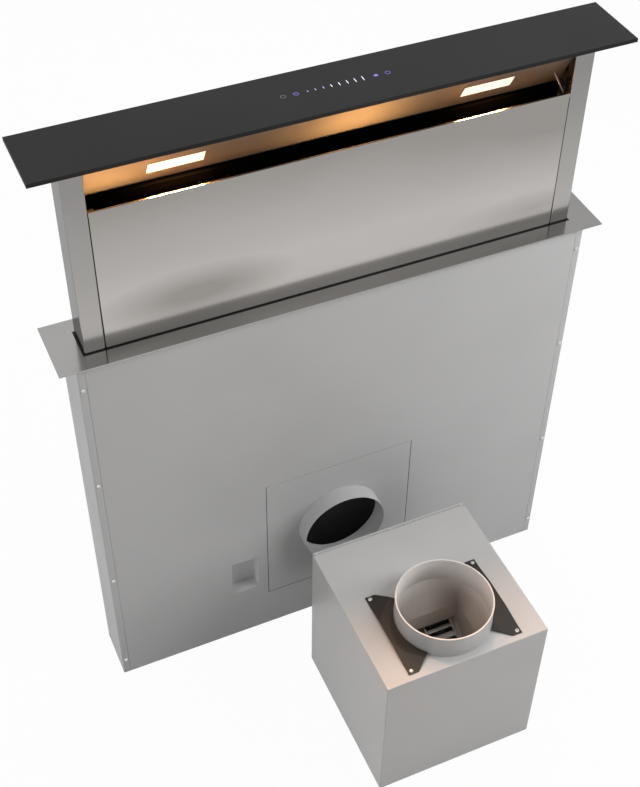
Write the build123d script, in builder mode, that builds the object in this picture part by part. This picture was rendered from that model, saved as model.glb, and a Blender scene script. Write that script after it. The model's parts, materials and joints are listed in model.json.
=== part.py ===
from build123d import *
import os
from math import acos, cos, degrees, hypot, radians, sin

# A worktop downdraft vent: an extraction column that rises out of a slim casing behind the
# hob, and the separate motor box that stands in front of the casing in the base cabinet.
#
# Millimetres. The origin is the centre of the casing's underside, on the cabinet floor.
# +X is to the right and +Y to the back, seen from the cook's side, and +Z is up.
# The column is drawn raised, at the top of its travel.

os.makedirs("parts", exist_ok=True)

# ---------------------------------------------------------------- driving dimensions

# Worktop and plates
worktop_height = 765.0          # cabinet floor to the worktop surface
plate_width = 900.0             # top plate and worktop flange, side to side
plate_depth = 114.0
column_inset_x = 47.0           # plate's side edge to the column
column_inset_y = 31.0           # plate's front or back edge to the column
casing_inset_x = 27.0           # the same to the casing
casing_inset_y = 10.5
top_plate_thickness = 6.0
worktop_flange_thickness = 2.0
plate_edge_chamfer = 0.4
lift_travel = 327.0

# Rising column
column_overlap = 67.0           # column that stays in the casing when it is raised
column_sheet = 1.0
post_width = 32.0
post_lip = 16.0
intake_height = 84.0            # front panel's top edge to the underside of the top plate
panel_gap = 0.4                 # seam between a panel and the posts
panel_return = 8.0
hem_depth = 4.5
hem_front_height = 6.0
hem_back_height = 9.0

# Casing
casing_sheet = 1.2
casing_lip = 12.0               # screwed lip of each side channel
cover_seam = 0.4
cover_hem = 9.4                 # part of a cover that runs behind the lip
bend_radius = 2.0               # outside radius of every fold
base_pan_height = 20.0
top_frame_thickness = 2.0
top_frame_height = 20.0

# Slot seal
slot_margin = 3.0               # column to the edge of the slot in the flange
seal_clearance = 0.4
seal_foot = 3.0
seal_height = 9.4
seal_recess = 0.6               # top of the seal below the flange's top face

# Duct outlet
outlet_plate_width = 273.0
outlet_plate_height = 287.0
outlet_plate_bottom = 92.0
outlet_seam = 1.2
outlet_hem = 10.0
outlet_hem_inset = 4.0
spigot_radius = 76.5            # for 150 mm ducting
spigot_height = 240.0           # its axis above the floor
spigot_length = 30.0            # in front of the casing
spigot_flange = 10.0
duct_wall = 1.2
duct_clearance = 0.3            # neck of a duct piece to the hole that it passes through

# Connection recess
recess_width = 50.0
recess_height = 83.5
recess_depth = 24.0
recess_left = -206.0
recess_bottom = 118.5
recess_flange = 8.0

# Lift drive
screw_radius = 6.0
screw_journal_radius = 5.0
screw_collar_radius = 9.0
screw_collar_height = 6.0
screw_top_drop = 40.0           # top of the screw below the top of its tube
screw_end_chamfer = 1.0
running_clearance = 0.06
tube_radius = 13.0
tube_bore = 11.0
tube_top_drop = 125.0           # top of the tube below the worktop surface
tube_flange_radius = 21.0
tube_flange_height = 6.0
bush_cap = 6.0
bush_sleeve = 18.0
bush_fit = 0.05
rod_radius = 10.0
rod_bore = 8.0
rod_top_drop = 109.0            # top of the rod below the raised top plate
rod_end_wall = 10.0
nut_length = 30.0
nut_neck = 10.0
nut_clearance = 0.3
nut_drop = 80.0                 # nut's underside below the top of its tube
rod_bracket_thickness = 3.0
rod_bracket_tab = 20.0
gearbox_width = 44.0
gearbox_depth = 50.0
gearbox_top = 70.0
gearbox_bore_depth = 13.0
journal_depth = 18.0
shaft_height = 45.0
shaft_radius = 5.0
drive_part_fillet = 4.0
end_float = 0.3
gearmotor_x = 250.0
gearmotor_width = 46.0
gearmotor_radius = 21.0
gearmotor_length = 92.0
gearmotor_cap = 8.0

# Guides
rail_web = 3.0
rail_flange = 3.0
rail_inner_width = 20.0
rail_run_out = 43.0             # rail below the lowered column
rail_gap = 2.0                  # rail to the column's side
rail_top_gap = 1.0              # rail to the top frame
shoe_clearance = 0.4
shoe_height = 40.0
shoe_rise = 1.0                 # shoe above the column's bottom
shoe_chamfer = 2.0

# Inside the column
bottom_frame_height = 12.0
bottom_frame_sheet = 1.5
bottom_frame_ledge = 3.0
cross_bar_width = 12.0
cross_bar_pitch = 185.0
deflector_front_drop = 16.0     # front lip of the deflector below the top plate
deflector_back_y = 12.0         # where the slope ends
deflector_bottom_gap = 83.0     # end of the slope below the top plate
deflector_top_flange = 12.0
head_tray_sheet = 1.2
head_tray_drop = 16.0
touch_board_length = 176.0
touch_board_depth = 26.0
touch_board_thickness = 1.6
touch_window_margin = 2.0
lamp_x = 238.0                  # lamp centres, either side of the middle
lamp_drop = 2.4                 # below the middle of the slope, along it
lamp_length = 81.4
lamp_height = 24.4
lamp_clearance = 0.3
lamp_lens = 2.5
lamp_body_length = 76.0
lamp_body_height = 20.0
lamp_body_depth = 10.0
lamp_flange = 5.0
lamp_flange_thickness = 1.5
filter_gap = 2.0                # from the middle, and from the panel returns
filter_front_y = 3.0
filter_thickness = 9.0
filter_border = 18.0
filter_top_gap = 3.0
filter_rail_wall = 1.0
filter_rail_height = 13.0
filter_rail_clearance = 0.3
pleat_pitch = 12.0
pleat_sheet = 0.8
handle_width = 46.0
handle_height = 8.0
handle_reach = 9.0
handle_bar = 3.0
handle_gap = 1.0                # below the rail
tray_sheet = 1.0
tray_height = 15.0
tray_front_gap = 1.0
tray_back_y = 14.0
catch_width = 12.0
catch_height = 24.0
catch_depth = 8.0
catch_drop = 6.0                # below the front panel's top edge
catch_fillet = 1.5

# Control box
control_inset = 83.0            # casing's left side to the box
control_width = 120.0
control_bottom = 120.0
control_height = 130.0
control_depth = 34.0
control_wall = 2.0
control_lid = 2.0
board_thickness = 1.6
board_post = 6.0

# Motor box, standing in front of the casing
motor_x = 46.5
motor_width = 288.0
motor_depth = 289.0
motor_height = 300.0
motor_back_y = -152.5
motor_sheet = 1.2
motor_back_sheet = 1.5
motor_edge_radius = 1.5
motor_lip = 4.5                 # turned-up lip of the shell and back plate above the top
motor_inlet_radius = 77.3       # takes 150 mm ducting
motor_inlet_height = 150.0
motor_inlet_length = 13.5
collar_radius = 80.0            # for 160 mm ducting
collar_y = -350.0
collar_rise = 45.0
collar_flange = 10.0

# Black brackets beside the collar
bracket_reach = 101.5           # collar centre to the outer edge
bracket_half_length = 81.0
bracket_rise = 6.0
bracket_ramp = 25.0             # slope from a tab's fold up to the level middle
bracket_sheet = 1.5
bracket_tab = 17.0
bracket_screw_x = 95.0
bracket_screw_y = 75.0
bracket_hole_radius = 2.2
bracket_gap = 1.5               # bracket to the collar

# Blower
scroll_width = 118.0            # inside, along the fan's axis
scroll_sheet = 1.0
scroll_outlet_half_depth = 51.0
scroll_max_radius = 117.0
scroll_min_radius = 82.0
scroll_centre_height = 125.0
scroll_top = 240.0
spiral_points = 12
transition_corner = 6.0
inlet_mouth_radius = 71.0
inlet_throat_radius = 62.0
inlet_cone_length = 9.0
wheel_radius = 75.0
wheel_inner_radius = 63.5
wheel_width = 98.0
wheel_disc = 2.0
wheel_ring = 4.0
blade_count = 28
blade_flats = 3
blade_sweep = 7.0               # degrees that a blade leans forward
blade_curve_radius = 13.0
blade_thickness_angle = 0.9
blade_tip_radius = 74.5
hub_radius = 12.0
hub_length = 16.0
fan_shaft_radius = 4.0
hub_fit = 0.03
fan_motor_radius = 42.0
fan_motor_gap = 6.0             # motor face to the wheel's disc
fan_motor_cap_radius = 30.0
fan_motor_chamfer = 4.0
spider_thickness = 2.0
spider_arm = 12.0
spider_radius = 80.0
base_plate_thickness = 2.0
base_plate_length = 170.0
base_bracket_height = 34.0
base_bracket_depth = 34.0
base_bracket_sheet = 1.5
mount_radius = 10.0
mount_height = 12.8
mount_waist = 7.5
mount_inset = 14.0
capacitor_radius = 17.0
capacitor_height = 68.0
capacitor_chamfer = 2.0
capacitor_x = 100.0             # from the collar's axis
capacitor_y = -50.0
terminal_width = 70.0
terminal_height = 60.0
terminal_depth = 30.0
terminal_bottom = 200.0
terminal_fillet = 2.0

# ---------------------------------------------------------------- worked-out places

column_width = plate_width - 2 * column_inset_x
column_depth = plate_depth - 2 * column_inset_y
casing_x = plate_width / 2 - casing_inset_x
casing_y = plate_depth / 2 - casing_inset_y
casing_inner_x = casing_x - casing_sheet
casing_inner_y = casing_y - casing_sheet
frame_y = casing_inner_y - casing_sheet          # inside the covers' hems
flange_top = worktop_height + worktop_flange_thickness
head_z = flange_top + lift_travel                # underside of the raised top plate
column_x = column_width / 2
column_y = column_depth / 2
column_bottom = flange_top - column_overlap
post_inner_x = column_x - post_width
slot_x = column_x + slot_margin
slot_y = column_y + slot_margin
panel_top = head_z - intake_height
panel_x = post_inner_x - panel_gap
panel_bottom = column_bottom + bottom_frame_height
tray_head_z = head_z - head_tray_sheet           # underside of the head tray
outlet_plate_middle = outlet_plate_bottom + outlet_plate_height / 2
screw_x = column_x - post_width / 2
spigot_neck_radius = spigot_radius - duct_wall   # drawn in by one wall to pass the sheet
collar_neck_radius = collar_radius - duct_wall
tube_top = worktop_height - tube_top_drop
screw_top = tube_top - screw_top_drop
nut_bottom = tube_top - nut_drop
rod_top = head_z - rod_top_drop
rail_bottom = column_bottom - lift_travel - rail_run_out
sides = (("left", -1), ("right", 1))


def folded(points, thickness, inner_side, radius=bend_radius):
    """Section of a folded sheet, from the corners of its outer face."""
    with BuildSketch() as section:
        with BuildLine():
            FilletPolyline(*points, radius=radius)
            offset(amount=thickness, side=inner_side)
        make_face()
    return section.sketch


def mirrored(points, side):
    """The points of a right-hand section, or their mirror image on the left."""
    return [(side * x, y) for x, y in points]


# ================================================================ casing

# Side channels: a web with a screwed lip along the front and the back edge.
channel_corners = [
    (casing_x - casing_lip, -casing_y),
    (casing_x, -casing_y),
    (casing_x, casing_y),
    (casing_x - casing_lip, casing_y),
]
for side_name, side in sides:
    inner_side = Side.LEFT if side > 0 else Side.RIGHT
    channel_section = folded(mirrored(channel_corners, side), casing_sheet, inner_side)
    with BuildPart() as casing_side:
        with BuildSketch():
            add(channel_section)
        extrude(amount=worktop_height)
    casing_side.part.label = f"casing_side_{side_name}"
    export_step(casing_side.part, f"parts/casing_side_{side_name}.step")

# Covers: a panel between the lips, joggled so that its hems run behind them.
cover_x = casing_x - casing_lip - cover_seam
hem_x = cover_x + cover_hem
hem_overlap = casing_sheet


def cover_profile(face_y, inward):
    """Section of a cover whose outer face is at face_y; inward is +1 on the front."""
    with BuildSketch() as section:
        with Locations((0, face_y + inward * casing_sheet / 2)):
            Rectangle(2 * cover_x, casing_sheet)
        with Locations((0, face_y + inward * 1.5 * casing_sheet)):
            Rectangle(2 * hem_x, casing_sheet)
            Rectangle(2 * (cover_x - hem_overlap), casing_sheet, mode=Mode.SUBTRACT)
    return section.sketch


with BuildPart() as front_cover:
    with BuildSketch():
        add(cover_profile(-casing_y, 1))
    extrude(amount=worktop_height)
    with BuildSketch(Plane.XZ.offset(casing_y)):
        with Locations((0, outlet_plate_middle)):
            Rectangle(outlet_plate_width + 2 * outlet_seam, outlet_plate_height + 2 * outlet_seam)
        with Locations((recess_left, recess_bottom)):
            Rectangle(recess_width, recess_height, align=(Align.MIN, Align.MIN))
    extrude(amount=-casing_sheet, mode=Mode.SUBTRACT)
front_cover.part.label = "front_cover"
export_step(front_cover.part, "parts/front_cover.step")

with BuildPart() as back_cover:
    with BuildSketch():
        add(cover_profile(casing_y, -1))
    extrude(amount=worktop_height)
back_cover.part.label = "back_cover"
export_step(back_cover.part, "parts/back_cover.step")

# Base pan: a shallow tray that ties the walls together at the floor.
with BuildPart() as base_pan:
    with BuildSketch():
        Rectangle(2 * casing_inner_x, 2 * frame_y)
    extrude(amount=base_pan_height)
    offset(amount=-casing_sheet, openings=base_pan.faces().sort_by(Axis.Z)[-1])
base_pan.part.label = "base_pan"
export_step(base_pan.part, "parts/base_pan.step")

# Top frame: an angle ring under the worktop flange, open for the column and its seal.
with BuildPart() as top_frame:
    with BuildSketch(Plane.XY.offset(worktop_height - top_frame_height)):
        Rectangle(2 * casing_inner_x, 2 * frame_y)
        offset(amount=-top_frame_thickness, kind=Kind.INTERSECTION, mode=Mode.SUBTRACT)
    extrude(amount=top_frame_height)
    with BuildSketch(Plane.XY.offset(worktop_height - top_frame_thickness)):
        Rectangle(2 * casing_inner_x, 2 * frame_y)
        Rectangle(2 * (slot_x + seal_foot), 2 * (slot_y + seal_foot), mode=Mode.SUBTRACT)
    extrude(amount=top_frame_thickness)
top_frame.part.label = "top_frame"
export_step(top_frame.part, "parts/top_frame.step")

# Worktop flange: the steel plate that lies on the worktop round the slot.
with BuildPart() as worktop_flange:
    with BuildSketch(Plane.XY.offset(worktop_height)):
        Rectangle(plate_width, plate_depth)
        Rectangle(2 * slot_x, 2 * slot_y, mode=Mode.SUBTRACT)
    extrude(amount=worktop_flange_thickness)
    chamfer(worktop_flange.faces().sort_by(Axis.Z)[-1].outer_wire().edges(), plate_edge_chamfer)
worktop_flange.part.label = "worktop_flange"
export_step(worktop_flange.part, "parts/worktop_flange.step")

# Slot seal: a black ring that wipes the column, held by its foot under the flange.
with BuildPart() as slot_seal:
    with BuildSketch(Plane.XY.offset(flange_top - seal_recess - seal_height)):
        Rectangle(2 * slot_x, 2 * slot_y)
        Rectangle(column_width + 2 * seal_clearance, column_depth + 2 * seal_clearance, mode=Mode.SUBTRACT)
    extrude(amount=seal_height)
    with BuildSketch(Plane.XY.offset(worktop_height - top_frame_thickness)):
        Rectangle(2 * (slot_x + seal_foot), 2 * (slot_y + seal_foot))
        Rectangle(2 * slot_x, 2 * slot_y, mode=Mode.SUBTRACT)
    extrude(amount=top_frame_thickness)
slot_seal.part.label = "slot_seal"
export_step(slot_seal.part, "parts/slot_seal.step")

# Outlet plate: flush in the front cover, with a hem behind the edge of the opening.
with BuildPart() as outlet_plate:
    with BuildSketch(Plane.XZ.offset(casing_y)):
        with Locations((0, outlet_plate_middle)):
            Rectangle(outlet_plate_width, outlet_plate_height)
        with Locations((0, spigot_height)):
            Circle(spigot_neck_radius + duct_clearance, mode=Mode.SUBTRACT)
    extrude(amount=-casing_sheet)
    with BuildSketch(Plane.XZ.offset(casing_inner_y)):
        with Locations((0, outlet_plate_middle)):
            Rectangle(outlet_plate_width + 2 * outlet_hem, outlet_plate_height + 2 * outlet_hem)
            Rectangle(
                outlet_plate_width - 2 * outlet_hem_inset,
                outlet_plate_height - 2 * outlet_hem_inset,
                mode=Mode.SUBTRACT,
            )
    extrude(amount=-casing_sheet)
outlet_plate.part.label = "outlet_plate"
export_step(outlet_plate.part, "parts/outlet_plate.step")

# Outlet spigot: a tube with a flange behind the outlet plate and a neck in the plate's hole.
spigot_axis = Axis((0, 0, spigot_height), (0, 1, 0))
with BuildPart() as outlet_spigot:
    with BuildSketch(Plane.YZ):
        with Locations((-casing_y - spigot_length, spigot_height + spigot_radius)):
            Rectangle(spigot_length, duct_wall, align=(Align.MIN, Align.MAX))
        with Locations((-casing_y - duct_wall, spigot_height + spigot_neck_radius)):
            Rectangle(2 * casing_sheet + duct_wall, duct_wall, align=(Align.MIN, Align.MAX))
        with Locations((-casing_inner_y, spigot_height + spigot_radius + spigot_flange)):
            Rectangle(casing_sheet, spigot_flange + 2 * duct_wall, align=(Align.MIN, Align.MAX))
    revolve(axis=spigot_axis)
outlet_spigot.part.label = "outlet_spigot"
export_step(outlet_spigot.part, "parts/outlet_spigot.step")

# Connection recess: a pressed pocket behind its opening in the front cover.
recess_middle = (recess_left + recess_width / 2, recess_bottom + recess_height / 2)
with BuildPart() as connection_recess:
    with BuildSketch(Plane.XZ.offset(casing_inner_y)):
        with Locations(recess_middle):
            Rectangle(recess_width + 2 * recess_flange, recess_height + 2 * recess_flange)
    extrude(amount=-casing_sheet)
    with BuildSketch(Plane.XZ.offset(casing_inner_y)):
        with Locations(recess_middle):
            Rectangle(recess_width + 2 * casing_sheet, recess_height + 2 * casing_sheet)
    extrude(amount=-recess_depth)
    with BuildSketch(Plane.XZ.offset(casing_inner_y)):
        with Locations(recess_middle):
            Rectangle(recess_width, recess_height)
    extrude(amount=-(recess_depth - casing_sheet), mode=Mode.SUBTRACT)
connection_recess.part.label = "connection_recess"
export_step(connection_recess.part, "parts/connection_recess.step")

# Guide rails: U sections on the side webs, in which the column's shoes run.
rail_inner_half = rail_inner_width / 2
rail_outer_half = rail_inner_half + rail_flange
rail_tip_x = column_x + rail_gap
rail_web_x = casing_inner_x - rail_web
rail_top = worktop_height - top_frame_height - rail_top_gap
with BuildPart() as guide_rails:
    with BuildSketch(Plane.XY.offset(rail_bottom)):
        with GridLocations(rail_tip_x + casing_inner_x, 0, 2, 1):
            Rectangle(casing_inner_x - rail_tip_x, 2 * rail_outer_half)
        with GridLocations(rail_tip_x + rail_web_x, 0, 2, 1):
            Rectangle(rail_web_x - rail_tip_x, rail_inner_width, mode=Mode.SUBTRACT)
    extrude(amount=rail_top - rail_bottom)
guide_rails.part.label = "guide_rails"
export_step(guide_rails.part, "parts/guide_rails.step")

# Control electronics: a moulded box on the back cover, its board on four posts, and a lid.
control_left = control_inset - casing_x
control_back_y = casing_inner_y
control_front_y = control_back_y - control_depth
control_middle = (control_left + control_width / 2, control_bottom + control_height / 2)
board_width = control_width - 4 * control_wall
board_height = control_height - 4 * control_wall
with BuildPart() as control_box:
    with BuildSketch(Plane.XZ.offset(-control_back_y)):
        with Locations(control_middle):
            Rectangle(control_width, control_height)
    extrude(amount=control_depth)
    offset(amount=-control_wall, openings=control_box.faces().sort_by(Axis.Y)[0])
    with BuildSketch(Plane.XZ.offset(-(control_back_y - control_wall))):
        with Locations(control_middle):
            with GridLocations(board_width - 3 * board_post, board_height - 3 * board_post, 2, 2):
                Circle(board_post / 2)
    extrude(amount=board_post)
control_box.part.label = "control_box"
export_step(control_box.part, "parts/control_box.step")

board_back_y = control_back_y - control_wall - board_post
with BuildPart() as control_board:
    with BuildSketch(Plane.XZ.offset(-board_back_y)):
        with Locations(control_middle):
            Rectangle(board_width, board_height)
    extrude(amount=board_thickness)
    with BuildSketch(Plane.XZ.offset(-(board_back_y - board_thickness))):
        with Locations(control_middle):
            with Locations((-board_width / 4, board_height / 4)):
                Rectangle(board_width / 3, board_height / 4)
            with Locations((board_width / 4, -board_height / 5)):
                Rectangle(board_width / 4, board_height / 3)
    extrude(amount=board_post * 2)
control_board.part.label = "control_board"
export_step(control_board.part, "parts/control_board.step")

with BuildPart() as control_box_lid:
    with BuildSketch(Plane.XZ.offset(-control_front_y)):
        with Locations(control_middle):
            Rectangle(control_width, control_height)
    extrude(amount=control_lid)
    fillet(control_box_lid.edges().filter_by(Axis.Y), control_lid)
control_box_lid.part.label = "control_box_lid"
export_step(control_box_lid.part, "parts/control_box_lid.step")

# ================================================================ lift drive

# The gearmotor turns one cross shaft. At each end an angle gearbox turns a screw that stands
# in a fixed tube, and the screw's nut pushes a hollow rod up inside the column's post.

floor_z = casing_sheet
gearbox_inner_x = screw_x - gearbox_width / 2
shaft_end_x = gearbox_inner_x + gearbox_bore_depth - end_float

with BuildPart() as angle_gearboxes:
    with BuildSketch(Plane.XY.offset(floor_z)):
        with GridLocations(2 * screw_x, 0, 2, 1):
            RectangleRounded(gearbox_width, gearbox_depth, drive_part_fillet)
    extrude(amount=gearbox_top - floor_z)
    with BuildSketch(Plane.YZ.offset(-gearbox_inner_x - gearbox_bore_depth)):
        with Locations((0, shaft_height)):
            Circle(shaft_radius + running_clearance)
    extrude(amount=2 * (gearbox_inner_x + gearbox_bore_depth), mode=Mode.SUBTRACT)
    with BuildSketch(Plane.XY.offset(gearbox_top)):
        with GridLocations(2 * screw_x, 0, 2, 1):
            Circle(screw_journal_radius + running_clearance)
    extrude(amount=-(journal_depth + end_float), mode=Mode.SUBTRACT)
angle_gearboxes.part.label = "angle_gearboxes"
export_step(angle_gearboxes.part, "parts/angle_gearboxes.step")

with BuildPart() as lift_tubes:
    with BuildSketch(Plane.XY.offset(gearbox_top)):
        with GridLocations(2 * screw_x, 0, 2, 1):
            Circle(tube_flange_radius)
            Circle(tube_bore, mode=Mode.SUBTRACT)
    extrude(amount=tube_flange_height)
    with BuildSketch(Plane.XY.offset(gearbox_top)):
        with GridLocations(2 * screw_x, 0, 2, 1):
            Circle(tube_radius)
            Circle(tube_bore, mode=Mode.SUBTRACT)
    extrude(amount=tube_top - gearbox_top)
lift_tubes.part.label = "lift_tubes"
export_step(lift_tubes.part, "parts/lift_tubes.step")

# Bushes: a cap on each tube and a sleeve inside it, which guide the rod.
with BuildPart() as tube_bushes:
    with BuildSketch(Plane.XY.offset(tube_top)):
        with GridLocations(2 * screw_x, 0, 2, 1):
            Circle(tube_radius)
            Circle(rod_radius + running_clearance, mode=Mode.SUBTRACT)
    extrude(amount=bush_cap)
    with BuildSketch(Plane.XY.offset(tube_top)):
        with GridLocations(2 * screw_x, 0, 2, 1):
            Circle(tube_bore - bush_fit)
            Circle(rod_radius + running_clearance, mode=Mode.SUBTRACT)
    extrude(amount=-bush_sleeve)
tube_bushes.part.label = "tube_bushes"
export_step(tube_bushes.part, "parts/tube_bushes.step")

# Screws: a journal in the gearbox, a thrust collar inside the tube, and the long thread.
collar_bottom = gearbox_top + end_float
collar_top = collar_bottom + screw_collar_height
for side_name, side in sides:
    with BuildPart() as lift_screw:
        with BuildSketch(Plane((side * screw_x, 0, 0), x_dir=(1, 0, 0), z_dir=(0, -1, 0))):
            with BuildLine():
                Polyline(
                    (0, gearbox_top - journal_depth),
                    (screw_journal_radius, gearbox_top - journal_depth),
                    (screw_journal_radius, collar_bottom),
                    (screw_collar_radius, collar_bottom),
                    (screw_collar_radius, collar_top),
                    (screw_radius, collar_top),
                    (screw_radius, screw_top - screw_end_chamfer),
                    (screw_radius - screw_end_chamfer, screw_top),
                    (0, screw_top),
                    close=True,
                )
            make_face()
        revolve(axis=Axis((side * screw_x, 0, 0), (0, 0, 1)))
    lift_screw.part.label = f"lift_screw_{side_name}"
    export_step(lift_screw.part, f"parts/lift_screw_{side_name}.step")

# Rods: hollow over the screws, closed at the top.
rod_bottom = nut_bottom + nut_length
with BuildPart() as lift_rods:
    with BuildSketch(Plane.XY.offset(rod_bottom)):
        with GridLocations(2 * screw_x, 0, 2, 1):
            Circle(rod_radius)
    extrude(amount=rod_top - rod_bottom)
    with BuildSketch(Plane.XY.offset(rod_bottom)):
        with GridLocations(2 * screw_x, 0, 2, 1):
            Circle(rod_bore)
    extrude(amount=rod_top - rod_end_wall - rod_bottom, mode=Mode.SUBTRACT)
lift_rods.part.label = "lift_rods"
export_step(lift_rods.part, "parts/lift_rods.step")

# Nuts: each fills the tube under the end of its rod and has a neck in the rod's bore.
with BuildPart() as lift_nuts:
    with BuildSketch(Plane.XY.offset(nut_bottom)):
        with GridLocations(2 * screw_x, 0, 2, 1):
            Circle(tube_bore - nut_clearance)
    extrude(amount=nut_length)
    with BuildSketch(Plane.XY.offset(rod_bottom)):
        with GridLocations(2 * screw_x, 0, 2, 1):
            Circle(rod_bore - bush_fit)
    extrude(amount=nut_neck)
    with BuildSketch(Plane.XY.offset(nut_bottom)):
        with GridLocations(2 * screw_x, 0, 2, 1):
            Circle(screw_radius + running_clearance)
    extrude(amount=nut_length + nut_neck, mode=Mode.SUBTRACT)
lift_nuts.part.label = "lift_nuts"
export_step(lift_nuts.part, "parts/lift_nuts.step")

with BuildPart() as drive_shaft:
    with BuildSketch(Plane.YZ.offset(-shaft_end_x)):
        with Locations((0, shaft_height)):
            Circle(shaft_radius)
    extrude(amount=2 * shaft_end_x)
drive_shaft.part.label = "drive_shaft"
export_step(drive_shaft.part, "parts/drive_shaft.step")

# Gearmotor: a worm gear head that the shaft runs through, with its motor standing on it.
with BuildPart() as lift_gearmotor:
    with BuildSketch(Plane.XY.offset(floor_z)):
        with Locations((gearmotor_x, 0)):
            RectangleRounded(gearmotor_width, gearbox_depth, drive_part_fillet)
    extrude(amount=gearbox_top - floor_z)
    with BuildSketch(Plane.XY.offset(gearbox_top)):
        with Locations((gearmotor_x, 0)):
            Circle(gearmotor_radius)
    extrude(amount=gearmotor_length)
    with BuildSketch(Plane.XY.offset(gearbox_top + gearmotor_length)):
        with Locations((gearmotor_x, 0)):
            Circle(gearmotor_radius * 0.8)
    extrude(amount=gearmotor_cap)
    with BuildSketch(Plane.YZ.offset(gearmotor_x)):
        with Locations((0, shaft_height)):
            Circle(shaft_radius + running_clearance)
    extrude(amount=gearmotor_width, both=True, mode=Mode.SUBTRACT)
lift_gearmotor.part.label = "lift_gearmotor"
export_step(lift_gearmotor.part, "parts/lift_gearmotor.step")

# ================================================================ rising column

with BuildPart() as top_plate:
    with BuildSketch(Plane.XY.offset(head_z)):
        Rectangle(plate_width, plate_depth)
    extrude(amount=top_plate_thickness)
    chamfer(top_plate.faces().sort_by(Axis.Z)[-1].edges(), plate_edge_chamfer)
top_plate.part.label = "top_plate"
export_step(top_plate.part, "parts/top_plate.step")

# Head tray: carries the top plate, with a window for the touch board.
head_flange_x = panel_x - column_sheet - bend_radius
with BuildPart() as head_tray:
    with BuildSketch(Plane.XY.offset(tray_head_z)):
        Rectangle(column_width, column_depth)
        Rectangle(
            touch_board_length + 2 * touch_window_margin,
            touch_board_depth + 2 * touch_window_margin,
            mode=Mode.SUBTRACT,
        )
    extrude(amount=head_tray_sheet)
    with BuildSketch(Plane.XZ.offset(-(column_y - column_sheet))):
        with Locations((0, tray_head_z)):
            Rectangle(2 * head_flange_x, head_tray_drop, align=(Align.CENTER, Align.MAX))
    extrude(amount=head_tray_sheet)
head_tray.part.label = "head_tray"
export_step(head_tray.part, "parts/head_tray.step")

# Touch board: its sensor face lies on the underside of the top plate.
with BuildPart() as touch_board:
    with BuildSketch(Plane.XY.offset(head_z)):
        Rectangle(touch_board_length, touch_board_depth)
    extrude(amount=-touch_board_thickness)
    with BuildSketch(Plane.XY.offset(head_z - touch_board_thickness)):
        with GridLocations(touch_board_length / 4, 0, 3, 1):
            Rectangle(touch_board_length / 9, touch_board_depth / 3)
    extrude(amount=-touch_board_thickness)
touch_board.part.label = "touch_board"
export_step(touch_board.part, "parts/touch_board.step")

# Posts: folded channels, open towards the middle, that stand on the bottom frame.
post_corners = [
    (post_inner_x, -column_y + post_lip),
    (post_inner_x, -column_y),
    (column_x, -column_y),
    (column_x, column_y),
    (post_inner_x, column_y),
    (post_inner_x, column_y - post_lip),
]
for side_name, side in sides:
    inner_side = Side.LEFT if side > 0 else Side.RIGHT
    post_section = folded(mirrored(post_corners, side), column_sheet, inner_side)
    with BuildPart() as post:
        with BuildSketch(Plane.XY.offset(panel_bottom)):
            add(post_section)
        extrude(amount=tray_head_z - panel_bottom)
    post.part.label = f"post_{side_name}"
    export_step(post.part, f"parts/post_{side_name}.step")

# Rod brackets: plates across the posts, with a tab on the outer web, pushed up by the rods.
post_inner_width = post_width - 2 * column_sheet
with BuildPart() as rod_brackets:
    with BuildSketch(Plane.XY.offset(rod_top)):
        with GridLocations(2 * screw_x, 0, 2, 1):
            RectangleRounded(post_inner_width, column_depth - 2 * column_sheet, bend_radius)
    extrude(amount=rod_bracket_thickness)
    with BuildSketch(Plane.XY.offset(rod_top + rod_bracket_thickness)):
        with GridLocations(2 * (column_x - column_sheet - rod_bracket_thickness / 2), 0, 2, 1):
            Rectangle(rod_bracket_thickness, column_depth - 2 * column_sheet - 2 * bend_radius)
    extrude(amount=rod_bracket_tab)
rod_brackets.part.label = "rod_brackets"
export_step(rod_brackets.part, "parts/rod_brackets.step")

# Front panel: lifts off to reach the filters; its top edge is a folded hem.
panel_corners = [
    (-panel_x, -column_y + panel_return),
    (-panel_x, -column_y),
    (panel_x, -column_y),
    (panel_x, -column_y + panel_return),
]
panel_section = folded(panel_corners, column_sheet, Side.LEFT)
hem_corners = [
    (-column_y, panel_top - hem_front_height),
    (-column_y, panel_top),
    (-column_y + hem_depth, panel_top),
    (-column_y + hem_depth, panel_top - hem_back_height),
]
hem_section = folded(hem_corners, column_sheet, Side.RIGHT, radius=1.5 * column_sheet)
with BuildPart() as front_panel:
    with BuildSketch(Plane.XY.offset(panel_bottom)):
        add(panel_section)
    extrude(amount=panel_top - hem_front_height - panel_bottom)
    with BuildSketch(Plane.YZ.offset(-panel_x)):
        add(hem_section)
    extrude(amount=2 * panel_x)
front_panel.part.label = "front_panel"
export_step(front_panel.part, "parts/front_panel.step")

rear_corners = [
    (panel_x, column_y - panel_return),
    (panel_x, column_y),
    (-panel_x, column_y),
    (-panel_x, column_y - panel_return),
]
rear_section = folded(rear_corners, column_sheet, Side.LEFT)
with BuildPart() as rear_panel:
    with BuildSketch(Plane.XY.offset(panel_bottom)):
        add(rear_section)
    extrude(amount=tray_head_z - panel_bottom)
rear_panel.part.label = "rear_panel"
export_step(rear_panel.part, "parts/rear_panel.step")

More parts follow.
